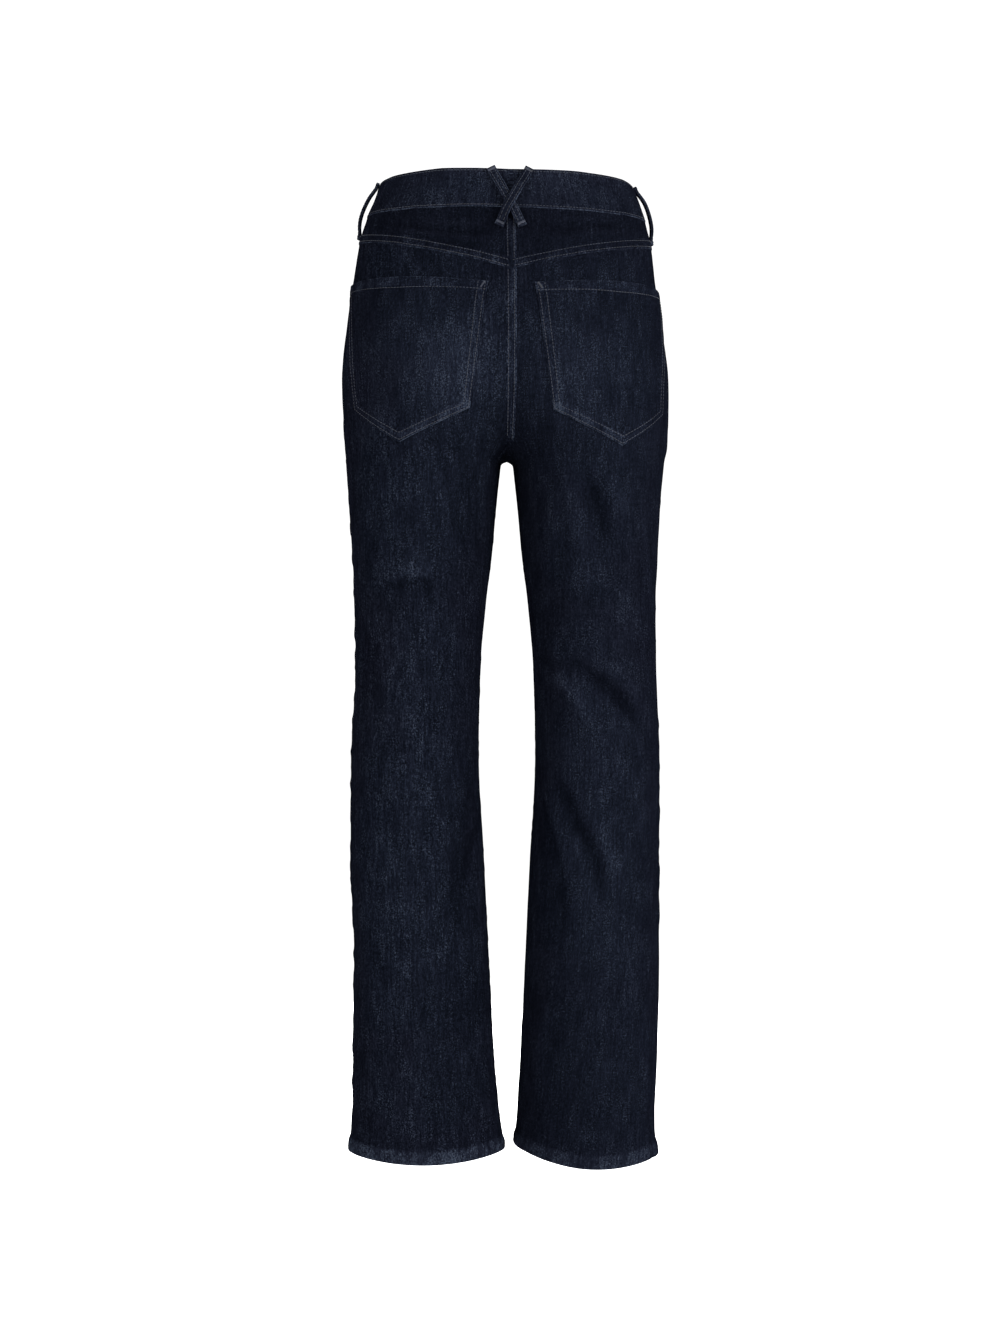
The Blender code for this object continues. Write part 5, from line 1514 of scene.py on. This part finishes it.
def make_waistband(finish):
    """The band, its folded edges, and a real slot for the button."""
    name = "waistband_cloth"
    stations = band_stations()
    edge_ups = np.array(BAND_EDGE_POINTS)
    ups = np.concatenate([edge_ups, np.linspace(4.4, BAND_TALL - 4.4, 21), BAND_TALL - edge_ups[::-1]])
    across, heights, from_end = band_grid(stations, ups)
    length = from_end[-1]
    from_tip = np.minimum(from_end, length - from_end)
    edge = np.minimum(np.minimum(ups, BAND_TALL - ups), from_tip[:, None]).ravel()
    half_wall = BAND_WALL / 2 - 0.75 * ease(1.3, 0.0, edge) - DENT_DEPTH * bell(edge, BAND_ROW, DENT_WIDTH)
    kept, rim, push = cut_buttonhole(grid_quads(len(stations), len(ups)), from_end, ups)
    across[rim] += push[:, 0]
    heights[rim] -= push[:, 1]
    layers = band_layers(stations, across, heights, half_wall)
    wear = edge_wear_and_highlight("band", edge) + BAND_SEAM_WEAR * bell(np.tile(ups, len(stations)), 0.3, 0.5)
    shares = np.repeat([station[2] for station in stations], len(ups))
    fade = BAND_FADE[0] + BAND_FADE[1] * ease(0.05, 0.65, shares)
    yarn = np.repeat(from_end, len(ups)) + 3.0
    piece = stand_for(shell(name, layers, kept, yarn, heights, wear, fade, finish, 0.0), "waistband")
    size = (length * METRE, BAND_TALL * METRE)
    SHEETS.append((piece, (size[0] * size[1], size)))
    for side, face in (("left", "front"), ("left", "back"), ("right", "back"), ("right", "front")):
        shares = np.linspace(0.004, 0.93 if (side, face) == ("right", "front") else 0.985, 80)
        for up in (BAND_ROW, BAND_TALL - BAND_ROW):
            sew_across(name, side, face, shares, band_height(side, face, shares, up), BAND_WALL / 2 - 0.2)
    sew_buttonhole(name)


def sew_buttonhole(piece):
    """Close stitches that point away from the slot all round it."""
    centres, ways = [], []
    for straight in np.linspace(-SLOT_HALF, SLOT_HALF, 16):
        centres += [straight, straight]
        ways += [(0.0, 1.0), (0.0, -1.0)]
    for angle in np.linspace(-math.pi / 2, math.pi / 2, 10)[1:-1]:
        centres += [SLOT_HALF, -SLOT_HALF]
        ways += [(math.cos(angle), math.sin(angle)), (-math.cos(angle), math.sin(angle))]
    ways = np.array(ways)
    ends = []
    for reach in (SLOT_RADIUS, SLOT_RADIUS + 1.9):
        heights = BAND_MIDDLE + ways[:, 1] * reach
        across = full_width("left", "front", heights) - SLOT_MIDDLE + centres + ways[:, 0] * reach
        ends.append(surface("left", "front", across, heights, BAND_WALL / 2 - 0.05))
    add_threads(piece, ends[0][0], ends[1][0], ends[0][1])


def band_point(from_end, out):
    """A place on the band's middle line near its left end."""
    height = np.array([BAND_MIDDLE])
    across = full_width("left", "front", height) - from_end
    return Vector(lift("left", place("left", "front", across, height), height, np.array([out]))[0])


def lathe(profile, around):
    """Points and faces of a profile of (radius, height) turned round Z, which starts and ends on the axis."""
    turns = np.arange(around) * 2 * math.pi / around
    points = [(0.0, 0.0, profile[0][1])]
    for radius, height in profile[1:-1]:
        points += [(radius * math.cos(turn), radius * math.sin(turn), height) for turn in turns]
    points.append((0.0, 0.0, profile[-1][1]))
    rings = [[1 + ring * around + k % around for k in range(around + 1)] for ring in range(len(profile) - 2)]
    faces = [(0, after, before) for before, after in zip(rings[0], rings[0][1:])]
    for low, high in zip(rings, rings[1:]):
        faces += [(low[k], low[k + 1], high[k + 1], high[k]) for k in range(around)]
    faces += [(before, after, len(points) - 1) for before, after in zip(rings[-1], rings[-1][1:])]
    return points, faces


def make_button(finish):
    """A shank button turned on a lathe: a ring round a sunk middle with a small dome."""
    base, seat = -BAND_WALL / 2 + GAP, BAND_WALL / 2 + BUTTON_STAND
    profile = [(0.0, base), (SHANK_RADIUS, base), (SHANK_RADIUS, seat)]
    profile += [(radius, seat + up) for radius, up in BUTTON_PROFILE]
    points, faces = lathe(profile, 64)
    foot = band_point(BUTTON_FROM_END, 0.0)
    outward = band_point(BUTTON_FROM_END, 1.0) - foot
    turn_to = Matrix.Translation(foot) @ outward.to_track_quat("Z", "Y").to_matrix().to_4x4()
    mesh = bpy.data.meshes.new("shank_button")
    mesh.from_pydata([tuple((turn_to @ Vector(point)) * METRE) for point in points], [], faces)
    return stand_for(add_object("shank_button", mesh, finish, 35.0), "button")


def loop_stand(along):
    """How far a loop stands off the band, as a share, with its corners rounded."""
    shares, stands = np.array(LOOP_SHAPE).T
    return sum(np.interp(along + step, shares, stands) for step in (0.0, 0.03, -0.03)) / 3


def loop_points(path, bulge, along, edge, out):
    """Points of a loop: shares of its length, distances from its middle line and heights in it."""
    left, face, across, heights = path(along, edge)
    below = WALL / 2 + (TURNING if face == "back" else 0.0)
    base = below + (BAND_WALL / 2 - below) * ease(WAIST_SEAM - 8, WAIST_SEAM, heights)
    extra = bulge[0] * ease(bulge[1], bulge[1] + 0.2, along) * ease(0.92, 0.80, along)
    rise = base + GAP + loop_stand(along) * LOOP_STAND + extra + out
    points = np.zeros((len(along), 3))
    for side, chosen in (("left", left), ("right", ~left)):
        if chosen.any():
            placed = place(side, face, across[chosen], heights[chosen])
            folds = fold_rise(side, face, across[chosen], heights[chosen])
            points[chosen] = lift(side, placed, heights[chosen], folds + rise[chosen])
    return points


def make_loop(node, path, finish, bulge=(0.0, 0.0)):
    """A belt loop: a folded strip with two rows of stitches, tacked at both ends."""
    name = node + "_cloth"

    def spots(along, edge, out):
        """Points of this loop."""
        return loop_points(path, bulge, *np.broadcast_arrays(along, edge, out))

    def add_row(starts, ends, middles, asides, out):
        """Stitches from start to end, on a height in the loop."""
        ups = spots(middles, asides, out + 1.0) - spots(middles, asides, out)
        add_threads(name, spots(starts, asides, out), spots(ends, asides, out), unit(ups))

    alongs, edges = np.linspace(0, 1, 64), np.array(LOOP_EDGE_POINTS)
    along, edge = (values.ravel() for values in np.meshgrid(alongs, edges, indexing="ij"))
    from_edge = LOOP_WIDTH / 2 - np.abs(edge)
    crown = LOOP_WALL - 0.7 * ease(1.1, 0, from_edge) - 0.18 * bell(from_edge, LOOP_ROW, 0.7)
    layers = spots(along, edge, crown), spots(along, edge, 0.25 * ease(0.8, 0, from_edge))
    wear = edge_wear_and_highlight("loop", from_edge) + LOOP_WEAR
    wear += LOOP_END_WEAR * (bell(along, 0, 0.02) + bell(along, 1, 0.02))
    fade = np.full(len(along), LOOP_FADE)
    quads = grid_quads(len(alongs), len(edges))
    piece = shell(name, layers, quads, edge + 20.0, -along * LOOP_LENGTH, wear, fade, finish, 0.0)
    size = ((LOOP_WIDTH + LOOP_WALL) * METRE, LOOP_LENGTH * METRE)
    SHEETS.append((stand_for(piece, node), (size[0] * size[1], size)))
    starts = np.arange(*LOOP_ROW_ENDS, STITCH_PITCH / LOOP_LENGTH)
    for aside in (LOOP_ROW - LOOP_WIDTH / 2, LOOP_WIDTH / 2 - LOOP_ROW):
        add_row(starts, starts + STITCH_LENGTH / LOOP_LENGTH, starts, aside, LOOP_WALL - 0.15)
    asides = np.arange(-LOOP_TACK_REACH, LOOP_TACK_REACH + BAR_PITCH / 10, BAR_PITCH)
    half = BAR_LENGTH / 2 / LOOP_LENGTH
    for centre in LOOP_TACKS:
        add_row(centre - half, centre + half, centre, asides, LOOP_WALL - 0.1)


def centre_path(top, bottom):
    """The way of a loop that slants over the centre back, by its distances from the seam at both ends."""
    slant = math.atan2(bottom - top, LOOP_LENGTH)

    def path(along, edge):
        """Whether on the left, the face, and the pattern points."""
        heights = BAND_TOP + 1.0 + BACK_RISE - LOOP_LENGTH * along + edge * math.sin(slant)
        distance = top + (bottom - top) * along + edge * math.cos(slant)
        left = distance > 0
        width = np.where(left, full_width("left", "back", heights), full_width("right", "back", heights))
        return left, "back", width - np.abs(distance), heights
    return path


def upright_path(side, face, share):
    """The way of a loop that runs straight down, at a share of the panel's width."""
    def path(along, edge):
        """Whether on the left, the face, and the pattern points."""
        shift = float(top_shift(side, face, share))
        top = BAND_TOP + 1.0 + shift + float(waist_shift(face, share))
        across = share * full_width(side, face, WAIST_SEAM) + LOOP_WIDTH / 2 + 1.0 + edge
        return np.full(len(along), side == "left"), face, across, top - (LOOP_LENGTH + shift) * along
    return path


def make_loops(finish):
    """The crossed pair at the centre back, whose right one lies on top, and one at each side and front."""
    make_loop("loop_back_left", centre_path(LOOP_BACK_TOP, -LOOP_BACK_BOTTOM), finish)
    make_loop("loop_back_right", centre_path(-LOOP_BACK_TOP, LOOP_BACK_BOTTOM), finish, LOOP_BULGE)
    for side in SIDES:
        make_loop("loop_side_" + side, upright_path(side, "back", 0.0), finish)
        make_loop("loop_front_" + side, upright_path(side, "front", FRONT_LOOP_SHARE), finish)


# ---------------------------------------------------------------- stage, light and camera

def make_stage():
    """A white floor in a white studio."""
    mesh = bpy.data.meshes.new("floor")
    ways = ((-1, -1), (1, -1), (1, 1), (-1, 1))
    mesh.from_pydata([(x * FLOOR_REACH, y * FLOOR_REACH, FLOOR_HEIGHT) for x, y in ways], [], [(0, 1, 2, 3)])
    made, _, shader = new_material("floor_white")
    shader.inputs["Base Color"].default_value = (*FLOOR_WHITE, 1.0)
    shader.inputs["Roughness"].default_value = 0.9
    mesh.materials.append(made)
    floor = bpy.data.objects.new("floor", mesh)
    bpy.context.collection.objects.link(floor)
    world = bpy.data.worlds.new("studio")
    world.use_nodes = True
    background = world.node_tree.nodes["Background"]
    background.inputs["Color"].default_value = (1.0, 1.0, 1.0, 1.0)
    background.inputs["Strength"].default_value = WORLD_STRENGTH
    bpy.context.scene.world = world
    bpy.context.scene.view_settings.view_transform = "Standard"


def make_lights():
    """Square softboxes, aimed at the middle of the jeans."""
    for name, spot, size, power in SOFTBOXES:
        data = bpy.data.lights.new(name, "AREA")
        data.shape = "SQUARE"
        data.size = size
        data.energy = power
        light = bpy.data.objects.new(name, data)
        light.location = spot
        light.rotation_euler = (Vector(LIGHT_AIM) - Vector(spot)).to_track_quat("-Z", "Y").to_euler()
        bpy.context.collection.objects.link(light)


def make_camera():
    """The photograph's camera, level and behind the jeans."""
    data = bpy.data.cameras.new("camera")
    data.lens = CAMERA_LENS
    data.sensor_width = 36.0
    data.sensor_fit = "AUTO"
    data.dof.use_dof = False
    camera = bpy.data.objects.new("camera", data)
    camera.location = CAMERA_PLACE
    camera.rotation_euler = (math.radians(90.0), 0.0, math.radians(CAMERA_TURN))
    bpy.context.collection.objects.link(camera)
    bpy.context.scene.camera = camera


def declare_sheets():
    """Works out each cloth piece's area, no more than its width times its length, and keeps none of it."""
    for piece, (area, size) in SHEETS:
        area = min(area, size[0] * size[1])


def main():
    """Build the whole scene."""
    make_camera()
    make_stage()
    make_lights()
    denim = make_denim()
    thread = make_thread("thread_navy", THREAD)
    brass = make_metal("brass_dull", *BRASS)
    antique = make_metal("metal_antique", *ANTIQUE)
    for side in SIDES:
        for face in FACES:
            make_panel(side, face, denim)
        make_yoke(side, denim)
        make_pocket(side, denim)
        make_facing(side, denim)
    teeth = make_fly(denim, brass)
    sew_front()
    make_waistband(denim)
    make_button(antique)
    make_loops(denim)
    stitches = {name: [thread_mesh("stitches_" + name, parts, thread)] for name, parts in THREADS.items()}
    stitches["zip_tape"] = [teeth]
    declare_sheets()


main()
